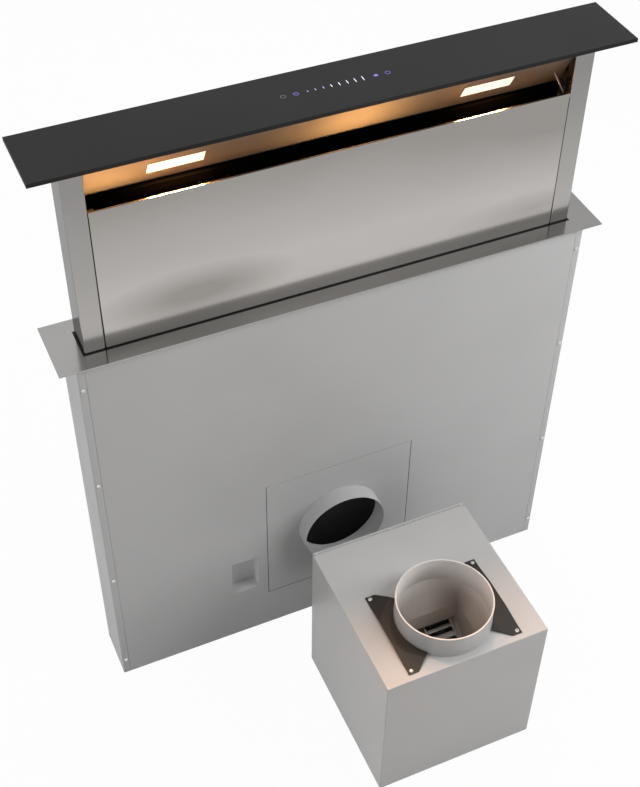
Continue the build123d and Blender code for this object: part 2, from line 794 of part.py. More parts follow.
# Bottom frame: an angle ring with cross bars; the posts stand on it and air leaves through it.
frame_inner_x = column_x - bottom_frame_sheet
frame_inner_y = column_y - bottom_frame_sheet
with BuildPart() as bottom_frame:
    with BuildSketch(Plane.XY.offset(column_bottom)):
        Rectangle(column_width, column_depth)
        Rectangle(2 * frame_inner_x, 2 * frame_inner_y, mode=Mode.SUBTRACT)
    extrude(amount=bottom_frame_height)
    with BuildSketch(Plane.XY.offset(panel_bottom - bottom_frame_sheet)):
        Rectangle(2 * post_inner_x, column_depth)
        Rectangle(2 * post_inner_x, 2 * (frame_inner_y - bottom_frame_ledge), mode=Mode.SUBTRACT)
        with GridLocations(cross_bar_pitch, 0, 3, 1):
            Rectangle(cross_bar_width, column_depth)
    extrude(amount=bottom_frame_sheet)
bottom_frame.part.label = "bottom_frame"
export_step(bottom_frame.part, "parts/bottom_frame.step")

# Guide shoes: plastic blocks on the posts' feet that run in the rails.
with BuildPart() as guide_shoes:
    shoe_depth_x = rail_web_x - shoe_clearance - column_x
    with BuildSketch(Plane.XY.offset(column_bottom + shoe_rise)):
        with GridLocations(2 * column_x + shoe_depth_x, 0, 2, 1):
            Rectangle(shoe_depth_x, rail_inner_width - 2 * shoe_clearance)
    extrude(amount=shoe_height)
    shoe_ends = guide_shoes.faces().filter_by(Axis.Z)
    chamfer(shoe_ends.edges().filter_by(Axis.X), shoe_chamfer)
guide_shoes.part.label = "guide_shoes"
export_step(guide_shoes.part, "parts/guide_shoes.step")

# Light deflector: front lip, long slope with the lamp openings, and a flange to the back.
deflector_bottom = head_z - deflector_bottom_gap
deflector_corner = (-column_y, head_z - deflector_front_drop)
slope_end = (deflector_back_y, deflector_bottom)
deflector_corners = [
    (-column_y + deflector_top_flange, tray_head_z),
    (-column_y, tray_head_z),
    deflector_corner,
    slope_end,
    (column_y - column_sheet, deflector_bottom),
]
deflector_section = folded(deflector_corners, column_sheet, Side.LEFT)
deflector_x = panel_x - panel_gap
slope_length = hypot(slope_end[0] - deflector_corner[0], slope_end[1] - deflector_corner[1])
slope_down = Vector(
    0,
    (slope_end[0] - deflector_corner[0]) / slope_length,
    (slope_end[1] - deflector_corner[1]) / slope_length,
)
slope_normal = Vector(0, slope_down.Z, -slope_down.Y)      # out of the lit face
slope_middle = Vector(
    0,
    (deflector_corner[0] + slope_end[0]) / 2,
    (deflector_corner[1] + slope_end[1]) / 2,
)
lamp_plane = Plane(
    origin=slope_middle + slope_down * lamp_drop,
    x_dir=(1, 0, 0),
    z_dir=slope_normal,
)
notch_x = bend_radius
with BuildPart() as light_deflector:
    with BuildSketch(Plane.YZ.offset(-deflector_x)):
        add(deflector_section)
    extrude(amount=2 * deflector_x)
    with BuildSketch(Plane.XY.offset(deflector_bottom)):
        with Locations((0, column_y)):
            with GridLocations(2 * deflector_x, 0, 2, 1):
                Rectangle(2 * notch_x, 2 * (panel_return + panel_gap))
    extrude(amount=2 * column_sheet, mode=Mode.SUBTRACT)
    with BuildSketch(lamp_plane):
        with GridLocations(2 * lamp_x, 0, 2, 1):
            Rectangle(lamp_length + 2 * lamp_clearance, lamp_height + 2 * lamp_clearance)
    extrude(amount=3 * column_sheet, both=True, mode=Mode.SUBTRACT)
light_deflector.part.label = "light_deflector"
export_step(light_deflector.part, "parts/light_deflector.step")

# Lamps: a flush lens in each opening, in a housing behind the slope.
with BuildPart() as lamp_lenses:
    with BuildSketch(lamp_plane):
        with GridLocations(2 * lamp_x, 0, 2, 1):
            Rectangle(lamp_length, lamp_height)
    extrude(amount=-lamp_lens)
lamp_lenses.part.label = "lamp_lenses"
export_step(lamp_lenses.part, "parts/lamp_lenses.step")

with BuildPart() as lamp_housings:
    with BuildSketch(lamp_plane.offset(-column_sheet)):
        with GridLocations(2 * lamp_x, 0, 2, 1):
            Rectangle(lamp_length + 2 * lamp_flange, lamp_height + 2 * lamp_flange)
            Rectangle(lamp_length, lamp_height, mode=Mode.SUBTRACT)
    extrude(amount=-lamp_flange_thickness)
    with BuildSketch(lamp_plane.offset(-lamp_lens)):
        with GridLocations(2 * lamp_x, 0, 2, 1):
            Rectangle(lamp_length + lamp_flange, lamp_height + lamp_flange)
    extrude(amount=-lamp_flange_thickness)
    with BuildSketch(lamp_plane.offset(-lamp_lens - lamp_flange_thickness)):
        with GridLocations(2 * lamp_x, 0, 2, 1):
            Rectangle(lamp_body_length, lamp_body_height)
    extrude(amount=-lamp_body_depth)
lamp_housings.part.label = "lamp_housings"
export_step(lamp_housings.part, "parts/lamp_housings.step")

# Drip tray: catches grease under the filters and holds their lower edges.
tray_front_y = -column_y + column_sheet + tray_front_gap
tray_x = panel_x - column_sheet - filter_gap
with BuildPart() as drip_tray:
    with BuildSketch(Plane.XY.offset(panel_bottom)):
        with Locations((0, (tray_front_y + tray_back_y) / 2)):
            Rectangle(2 * tray_x, tray_back_y - tray_front_y)
    extrude(amount=tray_height)
    offset(amount=-tray_sheet, openings=drip_tray.faces().sort_by(Axis.Z)[-1])
drip_tray.part.label = "drip_tray"
export_step(drip_tray.part, "parts/drip_tray.step")

# Grease filters: a bordered frame with a pleated expanded-metal core and a lifting handle.
filter_bottom = panel_bottom + tray_sheet
filter_top = deflector_bottom - filter_rail_wall - filter_top_gap
filter_height = filter_top - filter_bottom
filter_end_x = tray_x - tray_sheet - panel_gap
filter_width = filter_end_x - filter_gap
filter_middle_x = (filter_end_x + filter_gap) / 2
core_width = filter_width - 2 * filter_border
pleat_count = int(core_width / pleat_pitch)
filter_middle_y = filter_front_y + filter_thickness / 2
pleat_swing = filter_thickness / 2 - pleat_sheet
core_pitch = core_width / pleat_count
core_bottom = filter_bottom + filter_border
core_height = filter_height - 2 * filter_border
for side_name, side in sides:
    with BuildPart() as filter_frame:
        with BuildSketch(Plane.XZ.offset(-filter_front_y)):
            with Locations((side * filter_middle_x, (filter_bottom + filter_top) / 2)):
                Rectangle(filter_width, filter_height)
                Rectangle(core_width, core_height, mode=Mode.SUBTRACT)
        extrude(amount=-filter_thickness)
    filter_frame.part.label = f"filter_frame_{side_name}"
    export_step(filter_frame.part, f"parts/filter_frame_{side_name}.step")

with BuildSketch() as pleated_sheet:
    with BuildLine():
        Polyline(
            *[
                (i * core_pitch - core_width / 2, pleat_swing * (-1) ** i)
                for i in range(pleat_count + 1)
            ]
        )
        offset(amount=pleat_sheet / 2, kind=Kind.INTERSECTION)
    make_face()
    Rectangle(core_width, filter_thickness, mode=Mode.INTERSECT)

with BuildPart() as filter_cores:
    with BuildSketch(Plane.XY.offset(core_bottom)):
        with Locations((0, filter_middle_y)):
            with GridLocations(2 * filter_middle_x, 0, 2, 1):
                add(pleated_sheet.sketch)
    extrude(amount=core_height)
filter_cores.part.label = "filter_cores"
export_step(filter_cores.part, "parts/filter_cores.step")

filter_rail_bottom = deflector_bottom - filter_rail_height
handle_z = filter_rail_bottom - handle_gap - handle_height / 2
with BuildPart() as filter_handles:
    with BuildSketch(Plane.XZ.offset(-filter_front_y)):
        with GridLocations(2 * filter_middle_x, 0, 2, 1):
            with Locations((0, handle_z)):
                Rectangle(handle_width, handle_height)
    extrude(amount=handle_reach)
    with BuildSketch(Plane.XZ.offset(-filter_front_y)):
        with GridLocations(2 * filter_middle_x, 0, 2, 1):
            with Locations((0, handle_z)):
                Rectangle(handle_width - 2 * handle_bar, handle_height)
    extrude(amount=handle_reach - handle_bar, mode=Mode.SUBTRACT)
filter_handles.part.label = "filter_handles"
export_step(filter_handles.part, "parts/filter_handles.step")

# Filter rail: an inverted channel under the deflector that holds the filters' upper edges.
with BuildPart() as filter_rail:
    with BuildSketch(Plane.XY.offset(deflector_bottom)):
        with Locations((0, filter_middle_y)):
            Rectangle(
                2 * filter_end_x,
                filter_thickness + 2 * (filter_rail_clearance + filter_rail_wall),
            )
    extrude(amount=-filter_rail_height)
    with BuildSketch(Plane.XY.offset(filter_rail_bottom)):
        with Locations((0, filter_middle_y)):
            Rectangle(2 * filter_end_x, filter_thickness + 2 * filter_rail_clearance)
    extrude(amount=filter_rail_height - filter_rail_wall, mode=Mode.SUBTRACT)
filter_rail.part.label = "filter_rail"
export_step(filter_rail.part, "parts/filter_rail.step")

# Panel catches: spring blocks on the posts' lips that hold the front panel's top corners.
with BuildPart() as panel_catches:
    with BuildSketch(Plane.XZ.offset(column_y - panel_return - cover_seam)):
        with GridLocations(2 * post_inner_x - catch_width, 0, 2, 1):
            with Locations((0, panel_top - catch_drop)):
                Rectangle(catch_width, catch_height, align=(Align.CENTER, Align.MAX))
    extrude(amount=-catch_depth)
    fillet(panel_catches.edges().filter_by(Axis.Y), catch_fillet)
panel_catches.part.label = "panel_catches"
export_step(panel_catches.part, "parts/panel_catches.step")

# ================================================================ motor box

motor_front_y = motor_back_y - motor_depth
motor_shell_back_y = motor_back_y - motor_back_sheet
motor_shell_middle_y = (motor_front_y + motor_shell_back_y) / 2

# Shell: front, sides, top and bottom in one, open at the back, with a turned-up screw lip.
with BuildPart() as motor_box_shell:
    with BuildSketch():
        with Locations((motor_x, motor_shell_middle_y)):
            Rectangle(motor_width, motor_shell_back_y - motor_front_y)
    extrude(amount=motor_height)
    front_face = motor_box_shell.faces().sort_by(Axis.Y)[0]
    upright_edges = front_face.edges().filter_by(Axis.Z)
    top_edges = motor_box_shell.faces().sort_by(Axis.Z)[-1].edges().filter_by(Axis.Y)
    front_top_edge = front_face.edges().sort_by(Axis.Z)[-1:]
    fillet(upright_edges + top_edges + front_top_edge, motor_edge_radius)
    offset(amount=-motor_sheet, openings=motor_box_shell.faces().sort_by(Axis.Y)[-1])
    with BuildSketch(Plane.XY.offset(motor_height)):
        with Locations((motor_x, collar_y)):
            Circle(collar_neck_radius + duct_clearance)
    extrude(amount=-2 * motor_sheet, mode=Mode.SUBTRACT)
    with BuildSketch(Plane.XZ.offset(-motor_shell_back_y)):
        with Locations((motor_x, motor_height - motor_sheet)):
            Rectangle(
                motor_width - 2 * motor_edge_radius,
                motor_lip + motor_sheet,
                align=(Align.CENTER, Align.MIN),
            )
    extrude(amount=motor_sheet)
motor_box_shell.part.label = "motor_box_shell"
export_step(motor_box_shell.part, "parts/motor_box_shell.step")

# Back plate: closes the shell, with a drawn inlet collar for the duct from the casing.
with BuildPart() as motor_box_back:
    with BuildSketch(Plane.XZ.offset(-motor_shell_back_y)):
        with Locations((motor_x, 0)):
            Rectangle(motor_width, motor_height + motor_lip, align=(Align.CENTER, Align.MIN))
        with Locations((motor_x, motor_inlet_height)):
            Circle(motor_inlet_radius, mode=Mode.SUBTRACT)
    extrude(amount=-motor_back_sheet)
    with BuildSketch(Plane.XZ.offset(-motor_back_y)):
        with Locations((motor_x, motor_inlet_height)):
            Circle(motor_inlet_radius + motor_back_sheet)
            Circle(motor_inlet_radius, mode=Mode.SUBTRACT)
    extrude(amount=motor_inlet_length)
motor_box_back.part.label = "motor_box_back"
export_step(motor_box_back.part, "parts/motor_box_back.step")

# Outlet collar: a smooth bore with a flange under the top and a neck in the top's hole. Above the
# top its wall is hemmed back on itself, which stiffens the rim.
collar_flange_top = motor_height - motor_sheet
collar_flange_bottom = collar_flange_top - duct_wall
collar_bore_radius = collar_neck_radius - duct_wall
collar_foot = Plane((motor_x, collar_y, collar_flange_bottom))
with BuildPart() as outlet_collar:
    with BuildSketch(collar_foot):
        Circle(collar_radius + collar_flange)
    extrude(amount=duct_wall)
    with BuildSketch(collar_foot):
        Circle(collar_neck_radius)
    extrude(amount=duct_wall + motor_sheet)
    with BuildSketch(collar_foot.offset(duct_wall + motor_sheet)):
        Circle(collar_radius)
    extrude(amount=collar_rise)
    with BuildSketch(collar_foot):
        Circle(collar_bore_radius)
    extrude(amount=duct_wall + motor_sheet + collar_rise, mode=Mode.SUBTRACT)
outlet_collar.part.label = "outlet_collar"
export_step(outlet_collar.part, "parts/outlet_collar.step")

# Collar brackets: black plates that arch over the top beside the collar. Each slopes down at both
# ends to a fold across its corner, and a screwed tab lies flat beyond the fold.
bracket_inner_radius = collar_radius + bracket_gap
tab_inner_x = bracket_reach - bracket_tab
tab_inner_y = bracket_half_length - bracket_tab
wing_corner = bracket_inner_radius * cos(radians(45))
bracket_slope = (bracket_rise - bracket_sheet) / bracket_ramp * cos(radians(45))


def bracket_block(side, base):
    """A bracket filled in solid below its upper faces, standing on the base plane."""
    with BuildPart() as block:
        with BuildSketch(base):
            with BuildLine():
                Polyline(
                    (side * wing_corner, -wing_corner),
                    (side * tab_inner_x, -bracket_half_length),
                    (side * bracket_reach, -tab_inner_y),
                    (side * bracket_reach, tab_inner_y),
                    (side * tab_inner_x, bracket_half_length),
                    (side * wing_corner, wing_corner),
                    close=True,
                )
            make_face()
            Circle(bracket_inner_radius, mode=Mode.SUBTRACT)
        extrude(amount=bracket_rise)
        for end in (-1, 1):
            fold = base.from_local_coords((side * tab_inner_x, end * bracket_half_length, bracket_sheet))
            slope = Plane(fold, z_dir=(side * bracket_slope, end * bracket_slope, 1))
            split(bisect_by=slope, keep=Keep.BOTTOM)
        for end in (-1, 1):
            with BuildSketch(base):
                with BuildLine():
                    Polyline(
                        (side * tab_inner_x, end * bracket_half_length),
                        (side * bracket_reach, end * bracket_half_length),
                        (side * bracket_reach, end * tab_inner_y),
                        close=True,
                    )
                make_face()
                with Locations((side * bracket_screw_x, end * bracket_screw_y)):
                    Circle(bracket_hole_radius, mode=Mode.SUBTRACT)
            extrude(amount=bracket_sheet)
    return block.part


bracket_base = Plane((motor_x, collar_y, motor_height))
with BuildPart() as collar_brackets:
    for side_name, side in sides:
        add(bracket_block(side, bracket_base))
        add(bracket_block(side, bracket_base.offset(-bracket_sheet)), mode=Mode.SUBTRACT)
collar_brackets.part.label = "collar_brackets"
export_step(collar_brackets.part, "parts/collar_brackets.step")

# ---------------------------------------------------------------- blower in the motor box

# The fan's axis lies along X. Its scroll opens upwards under the collar.
fan_y = collar_y - scroll_outlet_half_depth + scroll_max_radius
fan_z = scroll_centre_height


def scroll_outline(inset, top):
    """Section of the scroll, drawn in by inset: a spiral from the tongue, then the outlet."""
    front_y = collar_y - scroll_outlet_half_depth + inset
    back_y = collar_y + scroll_outlet_half_depth - inset
    least_radius = scroll_min_radius - inset
    tongue_angle = degrees(acos((back_y - fan_y) / least_radius))
    spiral = []
    for i in range(spiral_points + 1):
        fraction = i / spiral_points
        angle = radians(tongue_angle - (tongue_angle + 180) * fraction)
        radius = least_radius + (scroll_max_radius - scroll_min_radius) * fraction
        spiral.append((fan_y + radius * cos(angle), fan_z + radius * sin(angle)))
    with BuildSketch() as outline:
        with BuildLine():
            Spline(*spiral)
            Polyline(spiral[-1], (front_y, top), (back_y, top), spiral[0])
        make_face()
    return outline.sketch


with BuildPart() as scroll_wrap:
    with BuildSketch(Plane.YZ.offset(motor_x - scroll_width / 2)):
        add(scroll_outline(0, scroll_top))
        add(scroll_outline(scroll_sheet, scroll_top + scroll_sheet), mode=Mode.SUBTRACT)
    extrude(amount=scroll_width)
scroll_wrap.part.label = "scroll_wrap"
export_step(scroll_wrap.part, "parts/scroll_wrap.step")

# Scroll sides: flat plates, each with an inlet cone drawn inwards round the wheel's eye.
fan_axis = Axis((motor_x, fan_y, fan_z), (1, 0, 0))
with BuildPart() as scroll_sides:
    for side_name, side in sides:
        inner_x = motor_x + side * scroll_width / 2
        outer_x = inner_x + side * scroll_sheet
        throat_x = outer_x - side * inlet_cone_length
        with BuildSketch(Plane.YZ.offset(inner_x)):
            add(scroll_outline(0, scroll_top))
            with Locations((fan_y, fan_z)):
                Circle(inlet_mouth_radius, mode=Mode.SUBTRACT)
        extrude(amount=side * scroll_sheet)
        with BuildSketch(Plane.XZ.offset(-fan_y)):
            with BuildLine():
                Polyline(
                    (outer_x, fan_z + inlet_mouth_radius),
                    (throat_x, fan_z + inlet_throat_radius),
                    (throat_x, fan_z + inlet_throat_radius + scroll_sheet),
                    (inner_x, fan_z + inlet_mouth_radius + scroll_sheet),
                    (outer_x, fan_z + inlet_mouth_radius + scroll_sheet),
                    close=True,
                )
            make_face()
        revolve(axis=fan_axis)
scroll_sides.part.label = "scroll_sides"
export_step(scroll_sides.part, "parts/scroll_sides.step")

# Transition: leads from the scroll's oblong outlet to the round collar.
outlet_length = scroll_width + 2 * scroll_sheet
outlet_depth = 2 * scroll_outlet_half_depth
transition_top = collar_flange_bottom - duct_wall
with BuildPart() as outlet_transition:
    with BuildSketch(Plane.XY.offset(scroll_top)):
        with Locations((motor_x, collar_y)):
            RectangleRounded(outlet_length, outlet_depth, transition_corner)
    with BuildSketch(Plane.XY.offset(transition_top)):
        with Locations((motor_x, collar_y)):
            Circle(collar_neck_radius)
    loft(ruled=True)
    with BuildSketch(Plane.XY.offset(transition_top)):
        with Locations((motor_x, collar_y)):
            Circle(collar_radius + collar_flange)
    extrude(amount=duct_wall)
    with BuildSketch(Plane.XY.offset(scroll_top)):
        with Locations((motor_x, collar_y)):
            RectangleRounded(
                outlet_length - 2 * duct_wall,
                outlet_depth - 2 * duct_wall,
                transition_corner - duct_wall,
            )
    with BuildSketch(Plane.XY.offset(transition_top)):
        with Locations((motor_x, collar_y)):
            Circle(collar_bore_radius)
    loft(ruled=True, mode=Mode.SUBTRACT)
    with BuildSketch(Plane.XY.offset(transition_top)):
        with Locations((motor_x, collar_y)):
            Circle(collar_bore_radius)
    extrude(amount=duct_wall, mode=Mode.SUBTRACT)
outlet_transition.part.label = "outlet_transition"
export_step(outlet_transition.part, "parts/outlet_transition.step")

# Impeller: forward-curved blades, each bent in three flats, between two end rings. The driving
# disc parts it into two halves.
wheel_left_x = motor_x - wheel_width / 2


def blade_arc(start_angle):
    """Curve of a blade's face in section, which starts at an angle about the fan's axis."""
    ends = []
    for radius, angle in ((wheel_inner_radius, start_angle), (blade_tip_radius, start_angle + blade_sweep)):
        ends.append((radius * cos(radians(angle)), radius * sin(radians(angle))))
    with BuildLine():
        curve = RadiusArc(*ends, -blade_curve_radius)
    return curve


blade_back = blade_arc(0)
blade_front = blade_arc(blade_thickness_angle)
flat_ends = [i / blade_flats for i in range(blade_flats + 1)]
with BuildSketch() as blade_section:
    with BuildLine():
        back = Polyline(*[blade_back @ t for t in flat_ends])
        front = Polyline(*[blade_front @ t for t in flat_ends])
        Line(back @ 0, front @ 0)
        Line(back @ 1, front @ 1)
    make_face()

wheel_plane = Plane(origin=(wheel_left_x, fan_y, fan_z), x_dir=(0, 1, 0), z_dir=(1, 0, 0))
with BuildPart() as impeller:
    with BuildSketch(wheel_plane):
        with PolarLocations(0, blade_count):
            add(blade_section.sketch)
    extrude(amount=wheel_width)
    with BuildSketch(wheel_plane, wheel_plane.offset(wheel_width - wheel_disc)):
        Circle(wheel_radius)
        Circle(wheel_radius - wheel_ring, mode=Mode.SUBTRACT)
    extrude(amount=wheel_disc)
    with BuildSketch(wheel_plane.offset((wheel_width - wheel_disc) / 2)):
        Circle(wheel_radius)
    extrude(amount=wheel_disc)
    with BuildSketch(wheel_plane.offset((wheel_width - hub_length) / 2)):
        Circle(hub_radius)
    extrude(amount=hub_length)
    with BuildSketch(wheel_plane):
        Circle(fan_shaft_radius + hub_fit)
    extrude(amount=wheel_width, mode=Mode.SUBTRACT)
impeller.part.label = "impeller"
export_step(impeller.part, "parts/impeller.step")

# Fan motor: hangs in the left half of the wheel on a three-armed spider.
spider_inner_x = motor_x - scroll_width / 2 - scroll_sheet
fan_motor_face_x = motor_x - hub_length / 2 - fan_motor_gap
fan_motor_length = fan_motor_face_x - spider_inner_x
fan_plane = Plane(origin=(spider_inner_x, fan_y, fan_z), x_dir=(0, 1, 0), z_dir=(1, 0, 0))
with BuildPart() as fan_motor:
    with BuildSketch(fan_plane):
        Circle(fan_motor_radius)
    extrude(amount=fan_motor_length)
    chamfer(fan_motor.faces().sort_by(Axis.X)[-1].edges(), fan_motor_chamfer)
    with BuildSketch(fan_plane.offset(fan_motor_length)):
        Circle(fan_shaft_radius + running_clearance)
    extrude(amount=-(fan_motor_length - fan_motor_gap), mode=Mode.SUBTRACT)
fan_motor.part.label = "fan_motor"
export_step(fan_motor.part, "parts/fan_motor.step")

with BuildPart() as motor_spider:
    with BuildSketch(fan_plane):
        Circle(fan_motor_cap_radius)
        with PolarLocations(spider_radius / 2, 3, start_angle=90):
            Rectangle(spider_radius, spider_arm)
    extrude(amount=-spider_thickness)
motor_spider.part.label = "motor_spider"
export_step(motor_spider.part, "parts/motor_spider.step")

fan_shaft_start = fan_motor_gap + end_float
with BuildPart() as fan_shaft:
    with BuildSketch(fan_plane.offset(fan_shaft_start)):
        Circle(fan_shaft_radius)
    extrude(amount=motor_x + hub_length / 2 + fan_motor_gap - spider_inner_x - fan_shaft_start)
fan_shaft.part.label = "fan_shaft"
export_step(fan_shaft.part, "parts/fan_shaft.step")

# Blower base: a plate with an upright against each side of the scroll, on rubber mounts.
base_plate_z = motor_sheet + mount_height
base_half_x = outlet_length / 2 + base_bracket_sheet
with BuildPart() as blower_base:
    with BuildSketch(Plane.XY.offset(base_plate_z)):
        with Locations((motor_x, fan_y)):
            Rectangle(2 * base_half_x, base_plate_length)
    extrude(amount=base_plate_thickness)
    with BuildSketch(Plane.XY.offset(base_plate_z + base_plate_thickness)):
        with Locations((motor_x, fan_y)):
            with GridLocations(outlet_length + base_bracket_sheet, 0, 2, 1):
                Rectangle(base_bracket_sheet, base_bracket_depth)
    extrude(amount=base_bracket_height)
blower_base.part.label = "blower_base"
export_step(blower_base.part, "parts/blower_base.step")

# Rubber mounts: waisted bobbins under the corners of the blower base.
with BuildPart() as bobbin:
    with BuildSketch(Plane.XZ):
        with BuildLine():
            Polyline(
                (0, 0),
                (mount_radius, 0),
                (mount_waist, mount_height / 2),
                (mount_radius, mount_height),
                (0, mount_height),
                close=True,
            )
        make_face()
    revolve(axis=Axis.Z)

mount_pitch_x = 2 * (base_half_x - mount_inset)
mount_pitch_y = base_plate_length - 2 * mount_inset
with BuildPart() as rubber_mounts:
    with Locations((motor_x, fan_y, motor_sheet)):
        with GridLocations(mount_pitch_x, mount_pitch_y, 2, 2):
            add(bobbin.part)
rubber_mounts.part.label = "rubber_mounts"
export_step(rubber_mounts.part, "parts/rubber_mounts.step")

# Run capacitor: an upright can beside the scroll.
with BuildPart() as run_capacitor:
    with BuildSketch(Plane.XY.offset(motor_sheet)):
        with Locations((motor_x + capacitor_x, collar_y + capacitor_y)):
            Circle(capacitor_radius)
    extrude(amount=capacitor_height)
    chamfer(run_capacitor.faces().sort_by(Axis.Z)[-1].edges(), capacitor_chamfer)
run_capacitor.part.label = "run_capacitor"
export_step(run_capacitor.part, "parts/run_capacitor.step")

# Terminal box: a closed moulding inside the right wall.
terminal_back_x = motor_x + motor_width / 2 - motor_sheet
with BuildPart() as fan_terminal_box:
    with BuildSketch(Plane.YZ.offset(terminal_back_x)):
        with Locations((fan_y, terminal_bottom + terminal_height / 2)):
            Rectangle(terminal_width, terminal_height)
    extrude(amount=-terminal_depth)
    terminal_lid = fan_terminal_box.faces().sort_by(Axis.X)[0]
    fillet(terminal_lid.edges(), terminal_fillet)
fan_terminal_box.part.label = "fan_terminal_box"
export_step(fan_terminal_box.part, "parts/fan_terminal_box.step")
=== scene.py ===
# %% [markdown]
# # A worktop downdraft vent, dressed in Blender
# The vent is a flat casing that hangs under a kitchen worktop, a steel column that rises out of it
# behind the hob, and a motor box that stands in the cabinet. Its solids come from a CAD program at
# their true size. They could be drawn again here, but then every size would live in two places.
# So they are loaded as a fixed frame, and this file only adds light, finishes and small trim. The
# trim starts from a corner of the solid that carries it, and written distances lead on from there.

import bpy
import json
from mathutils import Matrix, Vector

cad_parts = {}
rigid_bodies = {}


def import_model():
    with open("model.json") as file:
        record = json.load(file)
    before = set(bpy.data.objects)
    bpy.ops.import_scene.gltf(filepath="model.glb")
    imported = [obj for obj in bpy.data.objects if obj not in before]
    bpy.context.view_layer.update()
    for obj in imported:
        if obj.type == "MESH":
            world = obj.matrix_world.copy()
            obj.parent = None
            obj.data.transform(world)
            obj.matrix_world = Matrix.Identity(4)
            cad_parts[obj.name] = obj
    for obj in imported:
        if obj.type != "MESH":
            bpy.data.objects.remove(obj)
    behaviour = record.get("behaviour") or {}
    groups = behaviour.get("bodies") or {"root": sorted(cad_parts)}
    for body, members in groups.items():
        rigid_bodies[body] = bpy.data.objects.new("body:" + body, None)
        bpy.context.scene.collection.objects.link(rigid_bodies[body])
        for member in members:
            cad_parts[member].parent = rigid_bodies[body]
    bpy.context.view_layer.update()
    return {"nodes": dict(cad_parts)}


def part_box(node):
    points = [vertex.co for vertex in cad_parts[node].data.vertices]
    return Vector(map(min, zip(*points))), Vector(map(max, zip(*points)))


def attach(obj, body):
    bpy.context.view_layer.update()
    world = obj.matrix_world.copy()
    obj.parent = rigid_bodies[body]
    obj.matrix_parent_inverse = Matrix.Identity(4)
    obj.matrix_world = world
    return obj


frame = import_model()
nodes = frame["nodes"]
MM = 0.001


def cad_corners(name):
    """The lowest and the highest corner of a CAD node, in millimetres."""
    return [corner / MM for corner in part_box(name)]


# %% [markdown]
# ## Camera
# The photograph looks down on the vent from the cook's left, from about two and a half metres.
# A camera could be turned by hand until the edges agree. Here its angles were solved once from the
# vent's square corners, so they are written as yaw, pitch and roll, and its axes follow from them.
# The long side of the picture is its height, and Blender measures the lens against that side.

# %% Camera at the photograph's angle
import json
from math import cos, pi, radians, sin

import bmesh
import bpy
from mathutils import Matrix, Vector

scene = bpy.context.scene
image_height = 787
focal_length_pixels = 1360.6
film_side = 36.0
yaw, pitch, roll = radians(24.53), radians(44.74), radians(0.81)
camera_place = Vector((-686.2, -1463.3, 2108.2))

forward = Vector((sin(yaw) * cos(pitch), cos(yaw) * cos(pitch), -sin(pitch)))
level_right = Vector((cos(yaw), -sin(yaw), 0))
level_up = level_right.cross(forward)
right = level_right * cos(roll) + level_up * sin(roll)
up = level_up * cos(roll) - level_right * sin(roll)

camera = bpy.data.objects.new("camera", bpy.data.cameras.new("camera"))
camera.data.sensor_width = film_side
camera.data.lens = film_side * focal_length_pixels / image_height
camera.matrix_world = Matrix((right, up, -forward)).transposed().to_4x4()
camera.location = camera_place * MM
scene.collection.objects.link(camera)
scene.camera = camera
scene.view_settings.view_transform = "Standard"
print("lens:", round(camera.data.lens, 2), "mm, height:", round(camera.location.z, 2), "m")

# %% [markdown]
# ## Floor and backdrop
# The photograph has a pure white ground. A white floor under strong lamps would do that too, but
# the lamps would then bleach the vent. So the floor and the world look white to the camera, to
# mirrors and to glass, while the light that they throw on the vent stays moderate. A small share of
# the floor is still lit in the usual way, which keeps a faint shadow under the casing.


# %% Tools for the floor and the world
def new_material(name):
    """An empty node material: its nodes, its links and its Principled shader."""
    material = bpy.data.materials.new(name)
    material.use_nodes = True
    tree = material.node_tree
    return material, tree.nodes, tree.links, tree.nodes["Principled BSDF"]


def seen_directly(tree_nodes, links):
    """One for rays from the camera, a mirror or glass, and nought for the light on the vent."""
    path = tree_nodes.new("ShaderNodeLightPath")
    either = tree_nodes.new("ShaderNodeMath")
    either.operation = "MAXIMUM"
    links.new(path.outputs["Is Camera Ray"], either.inputs[0])
    links.new(path.outputs["Is Glossy Ray"], either.inputs[1])
    all_three = tree_nodes.new("ShaderNodeMath")
    all_three.operation = "MAXIMUM"
    links.new(either.outputs[0], all_three.inputs[0])
    links.new(path.outputs["Is Transmission Ray"], all_three.inputs[1])
    return all_three.outputs[0]


# %% The floor's sheet
floor_reach, floor_drop = 8.0, 0.5
floor_mesh = bpy.data.meshes.new("floor")
sheet = bmesh.new()
bmesh.ops.create_grid(sheet, x_segments=8, y_segments=8, size=floor_reach)
bmesh.ops.translate(sheet, vec=(0, 0, -floor_drop * MM), verts=sheet.verts)
sheet.to_mesh(floor_mesh)
sheet.free()
floor = bpy.data.objects.new("floor", floor_mesh)
scene.collection.objects.link(floor)
print("floor:", 2 * floor_reach, "m wide,", floor_drop, "mm under the vent")

# %% A floor that is white to look at and keeps a faint shadow
floor_glow = 0.97
white_floor, mat_nodes, links, shader = new_material("white_floor")
shader.inputs["Base Color"].default_value = (0.5, 0.5, 0.5, 1)
shader.inputs["Roughness"].default_value = 0.8
glow = mat_nodes.new("ShaderNodeEmission")
glow.inputs["Strength"].default_value = 1.0
share = mat_nodes.new("ShaderNodeMath")
share.operation = "MULTIPLY"
share.inputs[1].default_value = floor_glow
blend_floor = mat_nodes.new("ShaderNodeMixShader")
links.new(seen_directly(mat_nodes, links), share.inputs[0])
links.new(share.outputs[0], blend_floor.inputs["Fac"])
links.new(shader.outputs[0], blend_floor.inputs[1])
links.new(glow.outputs[0], blend_floor.inputs[2])
links.new(blend_floor.outputs[0], mat_nodes["Material Output"].inputs["Surface"])
floor.data.materials.append(white_floor)
print("share of the floor's white that is glow:", floor_glow)

